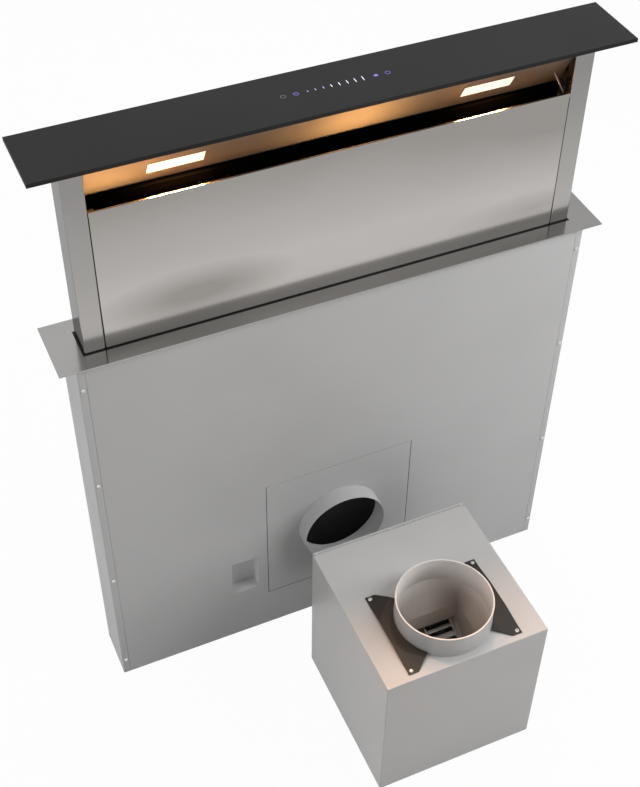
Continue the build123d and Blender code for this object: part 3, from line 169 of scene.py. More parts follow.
# %% A world that is white to look at and softer as a light
sky_light = 0.2
world = bpy.data.worlds.new("studio")
world.use_nodes = True
scene.world = world
sky_nodes, sky_links = world.node_tree.nodes, world.node_tree.links
dim_sky = sky_nodes["Background"]
dim_sky.inputs["Color"].default_value = (1, 1, 1, 1)
dim_sky.inputs["Strength"].default_value = sky_light
white_sky = sky_nodes.new("ShaderNodeBackground")
white_sky.inputs["Color"].default_value = (1, 1, 1, 1)
white_sky.inputs["Strength"].default_value = 1.0
blend_sky = sky_nodes.new("ShaderNodeMixShader")
sky_links.new(seen_directly(sky_nodes, sky_links), blend_sky.inputs["Fac"])
sky_links.new(dim_sky.outputs[0], blend_sky.inputs[1])
sky_links.new(white_sky.outputs[0], blend_sky.inputs[2])
sky_links.new(blend_sky.outputs[0], sky_nodes["World Output"].inputs["Surface"])
print("sky strength on the vent:", sky_light)

# %% [markdown]
# ## Studio lamps
# The casing is brightest at the upper right, its left side is lighter than its front, and it darkens
# towards the floor. One bare lamp would give hard shadows that the photograph doesn't have. Two
# soft lamps on the right do most of it, and a fill on the left, one overhead and one behind do the
# rest. Their strengths could be guessed one by one. Here each lamp was rendered alone first and
# their sum was fitted to the photograph, and a few were then trimmed. Mirrors don't see the
# lamps, because steel would show them as glaring squares.


# %% Soft lamps
def area_lamp(name, place, aim, size, watts, colour=(1, 1, 1), mirrored=False):
    """An oblong lamp, size wide and high, that faces the point aim."""
    light = bpy.data.lights.new(name, "AREA")
    light.shape = "RECTANGLE"
    light.size, light.size_y = size
    light.energy = watts
    light.color = colour
    lamp = bpy.data.objects.new(name, light)
    lamp.location = place
    lamp.rotation_euler = (Vector(aim) - Vector(place)).to_track_quat("-Z", "Y").to_euler()
    scene.collection.objects.link(lamp)
    lamp.visible_camera = False
    lamp.visible_glossy = mirrored
    return lamp


vent_middle = (0, 0, 0.6)
area_lamp("high_right_softbox", (1.2, -1.0, 1.9), (0.2, 0, 0.7), (0.8, 0.8), 19)
area_lamp("low_right_softbox", (2.2, -1.2, 1.3), (0.1, 0, 0.6), (1.0, 1.0), 29)
area_lamp("left_softbox", (-2.3, -0.9, 1.3), vent_middle, (1.2, 1.2), 18)
area_lamp("top_softbox", (0.1, 0.6, 3.0), vent_middle, (1.6, 1.6), 50)
area_lamp("back_softbox", (0.4, 2.6, 2.2), vent_middle, (1.8, 1.8), 30)
print("soft lamps, in watts:", {light.name: light.energy for light in bpy.data.lights})

# %% [markdown]
# ## The vent's own lamps
# Two flat lamps in the sloped deflector light the hob, and their warm light also reaches the hem
# of the front panel and the near edge of the motor box's top. A glowing lens alone gives too little
# light and much grain. So a small area lamp lies on each lens and faces the way that it does. The
# deflector glows warmly at its left end and in the middle. Lamps inside the narrow slot gave small
# hard spots there, so short lamps hang just in front of the slot and light it from outside. The
# lens lights ride on the column and sink into the casing with it. The others stay where they are,
# because on their way down they would shine on the casing's front. Mirrors do see the lens lights,
# since these stand for real lamps.

# %% Lens lights
lamp_warmth = (1.0, 0.45, 0.14)
lens_low, lens_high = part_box("lamp_lenses")
lens_middle = (lens_low + lens_high) / 2
lens_length, lens_lift = 81.4, 2.5
lens_x = lens_high.x - lens_length / 2 * MM
slope_out = Vector((0, -0.870, -0.493))
lens_size = (0.078, 0.021)
for lens_name, side, lens_watts in (("left", -1, 7.0), ("right", 1, 3.0)):
    start = Vector((side * lens_x, lens_middle.y, lens_middle.z)) + slope_out * lens_lift * MM
    lens_light = area_lamp(
        f"{lens_name}_lens_light", start, start + slope_out, lens_size, lens_watts, lamp_warmth,
        mirrored=True,
    )
    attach(lens_light, "column")
print("lens lights at x", round(-lens_x, 4), "and", round(lens_x, 4))

# %% Glow in the slot
glow_place_y, glow_place_z, glow_aim_y, glow_aim_z = -0.075, 1.003, -0.008, 1.045
glow_warmth, glow_height = (1.0, 0.58, 0.22), 0.01
for glow_name, glow_x, glow_length, glow_watts in (
    ("left_end", -0.340, 0.06, 0.66),
    ("middle", 0.030, 0.07, 1.05),
    ("right_end", 0.330, 0.05, 0.02),
):
    glow_place = (glow_x, glow_place_y, glow_place_z)
    glow_aim = (glow_x, glow_aim_y, glow_aim_z)
    glow_size = (glow_length, glow_height)
    area_lamp(f"{glow_name}_glow", glow_place, glow_aim, glow_size, glow_watts, glow_warmth)
print("lamps in all:", len(bpy.data.lights))

# %% [markdown]
# ## Finishes: how the sheet metal is made
# Every finish below is a short recipe of nodes on top of one Principled shader. An image of steel
# could be wrapped round the sheets instead, but it would stretch at each fold and show its edges.
# Noise in the object's own coordinates has no seams, and its grain can be given in millimetres.


# %% Noise and axes on the object
def object_noise(mat_nodes, links, grain, detail=3.0, stretch=(1, 1, 1)):
    """Noise whose grains are about this many millimetres across, drawn out by stretch."""
    place = mat_nodes.new("ShaderNodeTexCoord")
    scale = mat_nodes.new("ShaderNodeMapping")
    scale.inputs["Scale"].default_value = [1 / (grain * MM * factor) for factor in stretch]
    links.new(place.outputs["Object"], scale.inputs["Vector"])
    noise = mat_nodes.new("ShaderNodeTexNoise")
    noise.inputs["Scale"].default_value = 1.0
    noise.inputs["Detail"].default_value = detail
    links.new(scale.outputs["Vector"], noise.inputs["Vector"])
    return noise.outputs["Fac"]


def object_axes(mat_nodes, links):
    """The place on the object along X, Y and Z, in metres."""
    place = mat_nodes.new("ShaderNodeTexCoord")
    axes = mat_nodes.new("ShaderNodeSeparateXYZ")
    links.new(place.outputs["Object"], axes.inputs["Vector"])
    return axes.outputs


# %% Tools that turn one factor into another
def between(mat_nodes, links, factor, low, high, start=0.0, end=1.0):
    """Turns a factor that runs from start to end into a value from low to high."""
    spread = mat_nodes.new("ShaderNodeMapRange")
    spread.inputs["From Min"].default_value = start
    spread.inputs["From Max"].default_value = end
    spread.inputs["To Min"].default_value = low
    spread.inputs["To Max"].default_value = high
    links.new(factor, spread.inputs["Value"])
    return spread.outputs["Result"]


def combined(mat_nodes, links, operation, first, second):
    """Two factors added, multiplied or otherwise combined."""
    node = mat_nodes.new("ShaderNodeMath")
    node.operation = operation
    links.new(first, node.inputs[0])
    links.new(second, node.inputs[1])
    return node.outputs[0]


# %% Tools for colour, relief and handing out
def two_tones(mat_nodes, links, factor, dark, light):
    """A colour between two tones; each tone is a colour or the output of a node."""
    mix = mat_nodes.new("ShaderNodeMix")
    mix.data_type = "RGBA"
    for name, tone in (("A", dark), ("B", light)):
        if isinstance(tone, tuple):
            mix.inputs[name].default_value = (*tone, 1)
        else:
            links.new(tone, mix.inputs[name])
    links.new(factor, mix.inputs["Factor"])
    return mix.outputs["Result"]


def relief(mat_nodes, links, height, depth, strength=1.0):
    """A bump this many millimetres deep."""
    bump = mat_nodes.new("ShaderNodeBump")
    bump.inputs["Distance"].default_value = depth * MM
    bump.inputs["Strength"].default_value = strength
    links.new(height, bump.inputs["Height"])
    return bump.outputs["Normal"]


def finish(names, material):
    """Gives a material to CAD nodes by name, in every slot that they have."""
    for name in names:
        for slot in nodes[name].material_slots:
            slot.material = material
    finished.update(names)


finished = set()

# %% [markdown]
# ## Casing and motor box: a satin grey coating
# The casing, the motor box and the duct pieces are folded steel sheet with a light grey coating.
# Flat paint would look like card. A real coating has a fine orange peel, faint clouds of tone
# where it went on thicker, and a sheen that changes with them, so one noise drives each of these.
# The pressed recess for the connections lies in its own shade, and paler tones bring it back to
# what the photograph shows.


# %% Satin coating
def satin_coating(name, dark, light, roughness=0.42):
    """Coated sheet, with clouds between two tones and a fine orange peel."""
    material, mat_nodes, links, shader = new_material(name)
    clouds = object_noise(mat_nodes, links, 180, detail=2)
    peel = object_noise(mat_nodes, links, 1.6, detail=2)
    tone = between(mat_nodes, links, clouds, 0, 1, 0.3, 0.7)
    links.new(two_tones(mat_nodes, links, tone, dark, light), shader.inputs["Base Color"])
    sheen = between(mat_nodes, links, clouds, roughness - 0.05, roughness + 0.07, 0.3, 0.7)
    links.new(sheen, shader.inputs["Roughness"])
    links.new(relief(mat_nodes, links, peel, 0.04, 0.35), shader.inputs["Normal"])
    shader.inputs["Specular IOR Level"].default_value = 0.45
    return material


casing_coating = satin_coating("casing_coating", (0.415, 0.415, 0.415), (0.445, 0.445, 0.445))
box_coating = satin_coating("motor_box_coating", (0.425, 0.42, 0.415), (0.46, 0.455, 0.45), 0.36)
casing_names = ["casing_side_left", "casing_side_right", "front_cover", "back_cover"]
recess_coating = satin_coating("recess_coating", (0.60, 0.60, 0.60), (0.64, 0.64, 0.64))
finish(casing_names + ["outlet_plate", "outlet_spigot"], casing_coating)
finish(["connection_recess"], recess_coating)
finish(["motor_box_shell", "motor_box_back"], box_coating)
print("coated:", sorted(finished))

# %% [markdown]
# ## Outlet collar: coated, with painted shade in its bore and a painted highlight on its rim
# Outside, the collar has the box's coating, and its rolled rim is painted brighter as a highlight.
# Its bore is painted lighter near the rim and darker with depth, as painted shade. A second object
# could line the bore, but it would double the wall. The distance from the collar's axis tells the
# bore from the outside, so one recipe does both. The brackets stand evenly round the collar, so the
# middle of their box is a point on its axis.

# %% Which part of the collar is bore
bracket_low, bracket_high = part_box("collar_brackets")
collar_axis = (bracket_low + bracket_high) / 2
bore_edge, edge_blur = 0.0785, 0.2 * MM
collar_coating, mat_nodes, links, shader = new_material("collar_coating")
axes = object_axes(mat_nodes, links)
offsets = mat_nodes.new("ShaderNodeCombineXYZ")
for axis_number, axis_name in enumerate("XY"):
    offset = mat_nodes.new("ShaderNodeMath")
    offset.operation = "SUBTRACT"
    offset.inputs[1].default_value = collar_axis[axis_number]
    links.new(axes[axis_name], offset.inputs[0])
    links.new(offset.outputs[0], offsets.inputs[axis_name])
distance = mat_nodes.new("ShaderNodeVectorMath")
distance.operation = "LENGTH"
links.new(offsets.outputs[0], distance.inputs[0])
in_bore = between(
    mat_nodes, links, distance.outputs["Value"], 1, 0, bore_edge - edge_blur, bore_edge + edge_blur
)
print("collar axis at", round(collar_axis.x, 4), round(collar_axis.y, 4))

# %% Painted shade in the bore, painted highlight on the rim, and coating
unshaded_above, dark_below = 0.340, 0.275
rim_height, rim_blur = 0.3446, 0.3 * MM
# Painted shade: the bore is painted lighter near its rim and darker with depth, unevenly.
depth = between(mat_nodes, links, axes["Z"], 0, 1, unshaded_above, dark_below)
depth_shade = combined(mat_nodes, links, "MULTIPLY", in_bore, depth)
clouds = object_noise(mat_nodes, links, 60, detail=2)
uneven_shade = between(mat_nodes, links, clouds, 0.85, 1.0, 0.3, 0.7)
bore_shade = combined(mat_nodes, links, "MULTIPLY", depth_shade, uneven_shade)
bore_tones = two_tones(mat_nodes, links, bore_shade, (0.74, 0.73, 0.72), (0.36, 0.335, 0.31))
walls = two_tones(mat_nodes, links, in_bore, (0.44, 0.435, 0.43), bore_tones)
# Painted highlight: the band along the rim is painted brighter than the coating.
rim_highlight = between(mat_nodes, links, axes["Z"], 0, 1, rim_height, rim_height + rim_blur)
links.new(two_tones(mat_nodes, links, rim_highlight, walls, (0.58, 0.57, 0.55)), shader.inputs["Base Color"])
links.new(between(mat_nodes, links, bore_shade, 0.38, 0.55), shader.inputs["Roughness"])
peel = object_noise(mat_nodes, links, 1.6, detail=2)
links.new(relief(mat_nodes, links, peel, 0.04, 0.35), shader.inputs["Normal"])
finish(["outlet_collar", "outlet_transition"], collar_coating)
print("grease from z", unshaded_above, "down to", dark_below)

# %% [markdown]
# ## Column and flange: satin stainless steel
# The rising column and the worktop flange are stainless sheet with a very fine brush along their
# length. They are smooth enough to mirror each other: the flange shows the column, and the foot of
# the column shows the flange. So the steel is fairly smooth, and its brush is only a hint. Its tone
# runs slowly from dark to light across each sheet, as a painted reflection of the room. The room's
# darker parts could be built as objects for the steel to mirror. A few soft patches of darker tone
# are painted reflections that say the same with less. The deflector is blasted, so it scatters the
# lamps' warm light, and a polished one would stay black; its lighter left end is painted light.
# Steel mirrors more at a glancing angle, and the posts' outer faces would then stand out too light,
# so their shader's specular tint is turned down, and faces that look along X keep the dark tone as
# painted shade.


# %% A soft patch
def soft_patch(mat_nodes, links, middle, reach):
    """One at the middle, nought at this reach along X, Y and Z, all in metres."""
    place = mat_nodes.new("ShaderNodeTexCoord")
    scale = mat_nodes.new("ShaderNodeMapping")
    scale.inputs["Scale"].default_value = [1 / length for length in reach]
    scale.inputs["Location"].default_value = [-m / length for m, length in zip(middle, reach)]
    links.new(place.outputs["Object"], scale.inputs["Vector"])
    ball = mat_nodes.new("ShaderNodeTexGradient")
    ball.gradient_type = "SPHERICAL"
    links.new(scale.outputs["Vector"], ball.inputs["Vector"])
    return ball.outputs["Fac"]


# %% Satin steel
def satin_steel(name, dark, light, roughness, painted_dark_end, painted_light_end, painted_drift_axis="Z", patches=()):
    """Fine-brushed steel whose tone runs from dark to light between two places on one axis.

    This run is painted light and reflection. Faces that look along X keep the dark tone, as painted
    shade. Each patch, a middle, a reach and a depth, is a darker painted reflection."""
    material, mat_nodes, links, shader = new_material(name)
    axes = object_axes(mat_nodes, links)
    painted_light_drift = between(mat_nodes, links, axes[painted_drift_axis], 0.0, 0.9, painted_dark_end, painted_light_end)
    clouds = object_noise(mat_nodes, links, 160, detail=2, stretch=(2, 1, 1))
    cloudy = between(mat_nodes, links, clouds, -0.08, 0.12, 0.3, 0.7)
    tone = combined(mat_nodes, links, "ADD", painted_light_drift, cloudy)
    for middle, reach, depth in patches:
        patch = soft_patch(mat_nodes, links, middle, reach)
        darker = between(mat_nodes, links, patch, 0, depth)
        tone = combined(mat_nodes, links, "SUBTRACT", tone, darker)
    # Painted shade: faces that look along X are painted with the dark tone.
    turned = mat_nodes.new("ShaderNodeSeparateXYZ")
    links.new(mat_nodes.new("ShaderNodeTexCoord").outputs["Normal"], turned.inputs["Vector"])
    sideways = mat_nodes.new("ShaderNodeMath")
    sideways.operation = "ABSOLUTE"
    links.new(turned.outputs["X"], sideways.inputs[0])
    fronts_only = between(mat_nodes, links, sideways.outputs[0], 1, 0, 0.5, 0.9)
    tone = combined(mat_nodes, links, "MULTIPLY", tone, fronts_only)
    links.new(two_tones(mat_nodes, links, tone, dark, light), shader.inputs["Base Color"])
    hair = object_noise(mat_nodes, links, 0.3, detail=4, stretch=(90, 1, 1))
    brushed = between(mat_nodes, links, hair, roughness - 0.02, roughness + 0.04, 0.35, 0.65)
    links.new(brushed, shader.inputs["Roughness"])
    links.new(relief(mat_nodes, links, hair, 0.01, 0.10), shader.inputs["Normal"])
    shader.inputs["Metallic"].default_value = 1.0
    return material


# %% Each sheet's steel, with painted reflection and light from its dark end to its light end
panel_face, into_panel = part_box("front_panel")[0].y, 0.04
# Painted reflections: soft darker patches on the front panel.
column_patches = (
    ((-0.225, panel_face, 0.827), (0.16, into_panel, 0.050), 1.2),
    ((0.34, panel_face, 0.812), (0.17, into_panel, 0.035), 0.6),
    ((0.38, panel_face, 0.980), (0.30, into_panel, 0.14), 0.5),
    ((-0.38, panel_face, 0.770), (0.45, into_panel, 0.027), 1.0),
)
column_steel = satin_steel(
    "column_steel", (0.31, 0.297, 0.28), (0.51, 0.49, 0.47), roughness=0.17,
    painted_dark_end=1.01, painted_light_end=0.86, patches=column_patches,
)
post_steel = satin_steel(
    "post_steel", (0.27, 0.262, 0.255), (0.42, 0.405, 0.39), roughness=0.18,
    painted_dark_end=1.05, painted_light_end=0.82,
)
# Painted light: the deflector's left end is painted lighter.
deflector_steel = satin_steel(
    "deflector_steel", (0.130, 0.103, 0.080), (0.145, 0.122, 0.103), roughness=0.42,
    painted_dark_end=0.36, painted_light_end=-0.36, painted_drift_axis="X",
)
flange_steel = satin_steel(
    "flange_steel", (0.28, 0.276, 0.272), (0.375, 0.37, 0.365), roughness=0.15,
    painted_dark_end=0.44, painted_light_end=-0.44, painted_drift_axis="X",
)
print("soft patches on the front panel:", len(column_patches))

# %% Blasted deflector, calmer post edges, and the sheets they go on
blasted = deflector_steel.node_tree.nodes["Principled BSDF"]
blasted.inputs["Metallic"].default_value = 0.55
calmer_edges = post_steel.node_tree.nodes["Principled BSDF"]
calmer_edges.inputs["Specular Tint"].default_value = (0.6, 0.6, 0.6, 1)
finish(["front_panel", "rear_panel"], column_steel)
finish(["post_left", "post_right"], post_steel)
finish(["light_deflector"], deflector_steel)
finish(["worktop_flange"], flange_steel)
print("finished so far:", len(finished))

# %% [markdown]
# ## Inner sheet: zinc-coated steel
# Pans, frames and tubes are hidden sheet, left with its zinc. Hot-dip zinc sets in leaf-shaped
# crystals a few millimetres wide. Plain grey noise misses their straight edges, and Voronoi cells
# have just those, so each cell gets its own tone.


# %% Zinc with its crystals
def zinc_sheet(name, crystal=9.0):
    """Galvanised sheet whose crystals are about this many millimetres wide."""
    material, mat_nodes, links, shader = new_material(name)
    place = mat_nodes.new("ShaderNodeTexCoord")
    cells = mat_nodes.new("ShaderNodeTexVoronoi")
    cells.inputs["Scale"].default_value = 1 / (crystal * MM)
    links.new(place.outputs["Object"], cells.inputs["Vector"])
    grey = mat_nodes.new("ShaderNodeRGBToBW")
    links.new(cells.outputs["Color"], grey.inputs["Color"])
    tone = two_tones(mat_nodes, links, grey.outputs["Val"], (0.42, 0.43, 0.44), (0.60, 0.61, 0.62))
    links.new(tone, shader.inputs["Base Color"])
    links.new(
        between(mat_nodes, links, grey.outputs["Val"], 0.32, 0.48), shader.inputs["Roughness"]
    )
    fine = object_noise(mat_nodes, links, 0.8)
    links.new(relief(mat_nodes, links, fine, 0.02, 0.2), shader.inputs["Normal"])
    shader.inputs["Metallic"].default_value = 1.0
    return material


zinc = zinc_sheet("zinc_sheet")
pans = ["base_pan", "top_frame", "head_tray", "bottom_frame", "drip_tray"]
finish(pans + ["lift_tubes", "rod_brackets", "motor_spider", "blower_base"], zinc)
print("zinc-coated pans and frames:", pans)

# %% [markdown]
# ## Top plate: satin dark glass
# The top plate is tempered glass with a satin face, so it shows soft grey and not a mirror. Clear
# black glass would reflect the white room. A rough face over a nearly black base, with a low
# specular level, gives the matt dark grey of the photograph, and a very fine grain keeps it from
# looking like plastic film.

# %% Satin glass
dark_glass, mat_nodes, links, shader = new_material("dark_glass")
etch = object_noise(mat_nodes, links, 0.6, detail=2)
haze = object_noise(mat_nodes, links, 220, detail=1)
haze_tone = between(mat_nodes, links, haze, 0, 1, 0.3, 0.7)
links.new(
    two_tones(mat_nodes, links, haze_tone, (0.0070, 0.0070, 0.0074), (0.0090, 0.0090, 0.0094)),
    shader.inputs["Base Color"],
)
links.new(between(mat_nodes, links, etch, 0.42, 0.54, 0.3, 0.7), shader.inputs["Roughness"])
links.new(relief(mat_nodes, links, etch, 0.01, 0.2), shader.inputs["Normal"])
shader.inputs["Specular IOR Level"].default_value = 0.17
finish(["top_plate"], dark_glass)
print("top plate:", [round(length) for length in cad_corners("top_plate")[1]], "mm at its corner")

# %% [markdown]
# ## Mouldings, rubber and black paint
# Seal, mounts, shoes, boxes and brackets are all black, yet each black is different: rubber is
# dull, moulded plastic has a fine spark-eroded grain, and paint is smoother with a soft gloss.
# One recipe keeps them apart: each has its own tone, its grain's width and depth in millimetres, and
# its lowest and highest roughness. The filter frames, their handles and their rail get a black far
# darker than paint and without sheen, as painted shade, so that the intake slot looks empty, as in
# the photograph.


# %% Blacks
def black_finish(name, tone, grain, depth, gloss_low, gloss_high):
    """A black whose speckles are this many millimetres wide and deep."""
    material, mat_nodes, links, shader = new_material(name)
    speckle = object_noise(mat_nodes, links, grain, detail=3)
    spread = between(mat_nodes, links, speckle, 0, 1, 0.3, 0.7)
    dark = tuple(channel * 0.75 for channel in tone)
    light = tuple(channel * 1.3 for channel in tone)
    links.new(two_tones(mat_nodes, links, spread, dark, light), shader.inputs["Base Color"])
    links.new(
        between(mat_nodes, links, speckle, gloss_low, gloss_high, 0.3, 0.7),
        shader.inputs["Roughness"],
    )
    links.new(relief(mat_nodes, links, speckle, depth, 0.4), shader.inputs["Normal"])
    return material


# %% Each black and what it goes on
seal_rubber = black_finish("seal_rubber", (0.016, 0.016, 0.017), 1.2, 0.05, 0.65, 0.8)
moulded_black = black_finish("moulded_black", (0.018, 0.018, 0.020), 0.7, 0.05, 0.5, 0.65)
bracket_paint = black_finish("bracket_paint", (0.014, 0.013, 0.0115), 2.4, 0.03, 0.34, 0.48)
motor_paint = black_finish("motor_paint", (0.05, 0.05, 0.055), 1.5, 0.04, 0.35, 0.5)
# Painted shade: the slot's parts are near black and without sheen.
painted_slot_shade = black_finish("painted_slot_shade", (0.0004, 0.0004, 0.0004), 1.0, 0.02, 0.6, 0.75)
unlit_slot = painted_slot_shade.node_tree.nodes["Principled BSDF"]
unlit_slot.inputs["Specular IOR Level"].default_value = 0.0
finish(["slot_seal", "rubber_mounts"], seal_rubber)
boxes = ["control_box", "control_box_lid", "fan_terminal_box", "lamp_housings"]
finish(boxes + ["tube_bushes", "guide_shoes"], moulded_black)
finish(["collar_brackets"], bracket_paint)
finish(["fan_motor", "lift_gearmotor"], motor_paint)
finish(["filter_rail", "filter_handles", "filter_frame_left", "filter_frame_right"], painted_slot_shade)
print("finished so far:", len(finished))

# %% [markdown]
# ## Blower: coated sheet
# The scroll and its wheel lie deep in the box, in greasy air, and are coated grey against rust.
# Bare zinc would glint up through the collar, where the photograph shows a dull, even darkness.
# The wheel gets a darker copy of the coat, as painted shade deep in the box, so that its blades
# don't stand out as stripes.

# %% Coat for the blower
blower_coat = satin_coating("blower_coat", (0.42, 0.40, 0.38), (0.47, 0.45, 0.43), 0.6)
# Painted shade: the wheel's coat is a darker copy of the scroll's.
shaded_wheel_coat = satin_coating("shaded_wheel_coat", (0.36, 0.345, 0.33), (0.41, 0.395, 0.38), 0.6)
finish(["scroll_wrap", "scroll_sides"], blower_coat)
finish(["impeller"], shaded_wheel_coat)
print("blower coats:", blower_coat.name, shaded_wheel_coat.name)

# %% [markdown]
# ## Castings, shafts and nuts
# The rails and gearboxes are cast aluminium, the shafts and screws are turned steel, the rods are
# ground and the nuts are brass. Turning leaves fine rings across the axis and casting leaves a
# grainy skin, so the turned finishes use a wave along the axis and the cast one uses plain noise.


# %% Turned metal
def turned_metal(name, tone, pitch, depth, roughness, axis="Z"):
    """Turned metal with a ring every pitch and this deep, in millimetres, along the axis."""
    material, mat_nodes, links, shader = new_material(name)
    place = mat_nodes.new("ShaderNodeTexCoord")
    rings = mat_nodes.new("ShaderNodeTexWave")
    rings.bands_direction = axis
    rings.inputs["Scale"].default_value = 2 * pi / (20 * pitch * MM)
    rings.inputs["Distortion"].default_value = 0.2
    links.new(place.outputs["Object"], rings.inputs["Vector"])
    dark = tuple(channel * 0.8 for channel in tone)
    links.new(
        two_tones(mat_nodes, links, rings.outputs["Fac"], dark, tone), shader.inputs["Base Color"]
    )
    links.new(
        between(mat_nodes, links, rings.outputs["Fac"], roughness - 0.04, roughness + 0.06),
        shader.inputs["Roughness"],
    )
    links.new(relief(mat_nodes, links, rings.outputs["Fac"], depth), shader.inputs["Normal"])
    shader.inputs["Metallic"].default_value = 1.0
    return material


# %% Cast and pressed metal
def grainy_metal(name, tone, grain=1.4, depth=0.08, roughness=0.5):
    """Metal with a grainy skin; the grain's width and depth are in millimetres."""
    material, mat_nodes, links, shader = new_material(name)
    skin = object_noise(mat_nodes, links, grain, detail=4)
    dark = tuple(channel * 0.82 for channel in tone)
    links.new(two_tones(mat_nodes, links, skin, dark, tone), shader.inputs["Base Color"])
    gloss = between(mat_nodes, links, skin, roughness - 0.08, roughness + 0.1, 0.3, 0.7)
    links.new(gloss, shader.inputs["Roughness"])
    links.new(relief(mat_nodes, links, skin, depth, 0.6), shader.inputs["Normal"])
    shader.inputs["Metallic"].default_value = 1.0
    return material


# %% Shafts, rods, nuts and castings get their metal
screw_steel = turned_metal("screw_steel", (0.50, 0.50, 0.51), 4.0, 0.6, 0.28)
shaft_steel = turned_metal("shaft_steel", (0.52, 0.52, 0.53), 0.8, 0.02, 0.26, "X")
rod_steel = turned_metal("rod_steel", (0.70, 0.70, 0.71), 0.5, 0.005, 0.14)
nut_brass = turned_metal("nut_brass", (0.68, 0.52, 0.25), 0.9, 0.03, 0.30)
casting = grainy_metal("cast_aluminium", (0.58, 0.59, 0.60))
# Painted shade: the catches are painted near black, so they vanish in the slot.
shaded_catch_steel = grainy_metal("shaded_catch_steel", (0.10, 0.10, 0.10), 0.6, 0.01, 0.4)
finish(["lift_screw_left", "lift_screw_right"], screw_steel)
finish(["drive_shaft", "fan_shaft"], shaft_steel)
finish(["lift_rods"], rod_steel)
finish(["lift_nuts"], nut_brass)
finish(["guide_rails", "angle_gearboxes"], casting)
finish(["panel_catches"], shaded_catch_steel)
print("finished so far:", len(finished))

# %% [markdown]
# ## Filter cores: expanded aluminium
# The cores are pleated expanded metal whose diamonds are a few millimetres wide. The holes could
# be cut in the mesh, but they sit behind the panel, so a brick pattern of dark openings with
# relief shows them at no cost in faces.

# %% Filter mesh
filter_mesh, mat_nodes, links, shader = new_material("filter_mesh")
place = mat_nodes.new("ShaderNodeTexCoord")
turned = mat_nodes.new("ShaderNodeMapping")
turned.inputs["Rotation"].default_value = (pi / 2, 0, 0)
bricks = mat_nodes.new("ShaderNodeTexBrick")
bricks.inputs["Scale"].default_value = 120
bricks.inputs["Mortar Size"].default_value = 0.06
bricks.inputs["Mortar Smooth"].default_value = 0.3
bricks.inputs["Color1"].default_value = (0.05, 0.05, 0.05, 1)
bricks.inputs["Color2"].default_value = (0.09, 0.09, 0.09, 1)
bricks.inputs["Mortar"].default_value = (0.66, 0.67, 0.68, 1)
links.new(place.outputs["Object"], turned.inputs["Vector"])
links.new(turned.outputs["Vector"], bricks.inputs["Vector"])
links.new(bricks.outputs["Color"], shader.inputs["Base Color"])
links.new(relief(mat_nodes, links, bricks.outputs["Fac"], 0.5), shader.inputs["Normal"])
shader.inputs["Metallic"].default_value = 1.0
shader.inputs["Roughness"].default_value = 0.4
finish(["filter_cores"], filter_mesh)
mesh_step = bricks.inputs["Brick Width"].default_value / bricks.inputs["Scale"].default_value
print("from one opening of the mesh to the next:", round(mesh_step / MM, 1), "mm")

# %% [markdown]
# ## Circuit boards and capacitor
# The boards carry green solder mask over copper, which shows as slightly raised, lighter tracks.
# A brick pattern gives straight tracks at right angles. The capacitor is a glossy pale can with
# the slight mottling of moulded polypropylene.

# %% Circuit boards
board_green, mat_nodes, links, shader = new_material("board_green")
place = mat_nodes.new("ShaderNodeTexCoord")
tracks = mat_nodes.new("ShaderNodeTexBrick")
tracks.inputs["Scale"].default_value = 90
tracks.inputs["Mortar Size"].default_value = 0.04
tracks.inputs["Color1"].default_value = (0.015, 0.11, 0.045, 1)
tracks.inputs["Color2"].default_value = (0.012, 0.09, 0.04, 1)
tracks.inputs["Mortar"].default_value = (0.03, 0.19, 0.08, 1)
links.new(place.outputs["Object"], tracks.inputs["Vector"])
links.new(tracks.outputs["Color"], shader.inputs["Base Color"])
links.new(relief(mat_nodes, links, tracks.outputs["Fac"], 0.05), shader.inputs["Normal"])
shader.inputs["Roughness"].default_value = 0.35
finish(["control_board", "touch_board"], board_green)
print("boards:", board_green.name)

# %% Capacitor can
can_white, mat_nodes, links, shader = new_material("capacitor_can")
mottle = object_noise(mat_nodes, links, 6, detail=2)
links.new(
    two_tones(mat_nodes, links, mottle, (0.72, 0.72, 0.70), (0.82, 0.82, 0.80)),
    shader.inputs["Base Color"],
)
links.new(between(mat_nodes, links, mottle, 0.22, 0.34), shader.inputs["Roughness"])
finish(["run_capacitor"], can_white)
print("can:", can_white.name)

# %% [markdown]
# ## Lamp lenses
# Each lamp is an opal lens with fine ribs that spread a warm white light. A plain white block
# would look painted on. The lens gives off its own light, a little less between the ribs, so they
# stay visible although the lens is nearly white to the camera. Blender's wave repeats every
# tenth of pi at scale one, and the scale below turns that into one rib every four millimetres.

# %% Glowing opal
rib_pitch = 4.0
lamp_opal, mat_nodes, links, shader = new_material("lamp_opal")
place = mat_nodes.new("ShaderNodeTexCoord")
ribs = mat_nodes.new("ShaderNodeTexWave")
ribs.bands_direction = "X"
ribs.inputs["Scale"].default_value = 2 * pi / (20 * rib_pitch * MM)
links.new(place.outputs["Object"], ribs.inputs["Vector"])
links.new(relief(mat_nodes, links, ribs.outputs["Fac"], 0.2), shader.inputs["Normal"])
links.new(
    two_tones(mat_nodes, links, ribs.outputs["Fac"], (0.90, 0.87, 0.82), (0.95, 0.93, 0.90)),
    shader.inputs["Base Color"],
)
links.new(
    two_tones(mat_nodes, links, ribs.outputs["Fac"], (0.90, 0.83, 0.74), (1.0, 0.97, 0.92)),
    shader.inputs["Emission Color"],
)
shader.inputs["Roughness"].default_value = 0.3
shader.inputs["Emission Strength"].default_value = 0.38
finish(["lamp_lenses"], lamp_opal)
print("nodes without a finish:", sorted(set(nodes) - finished))

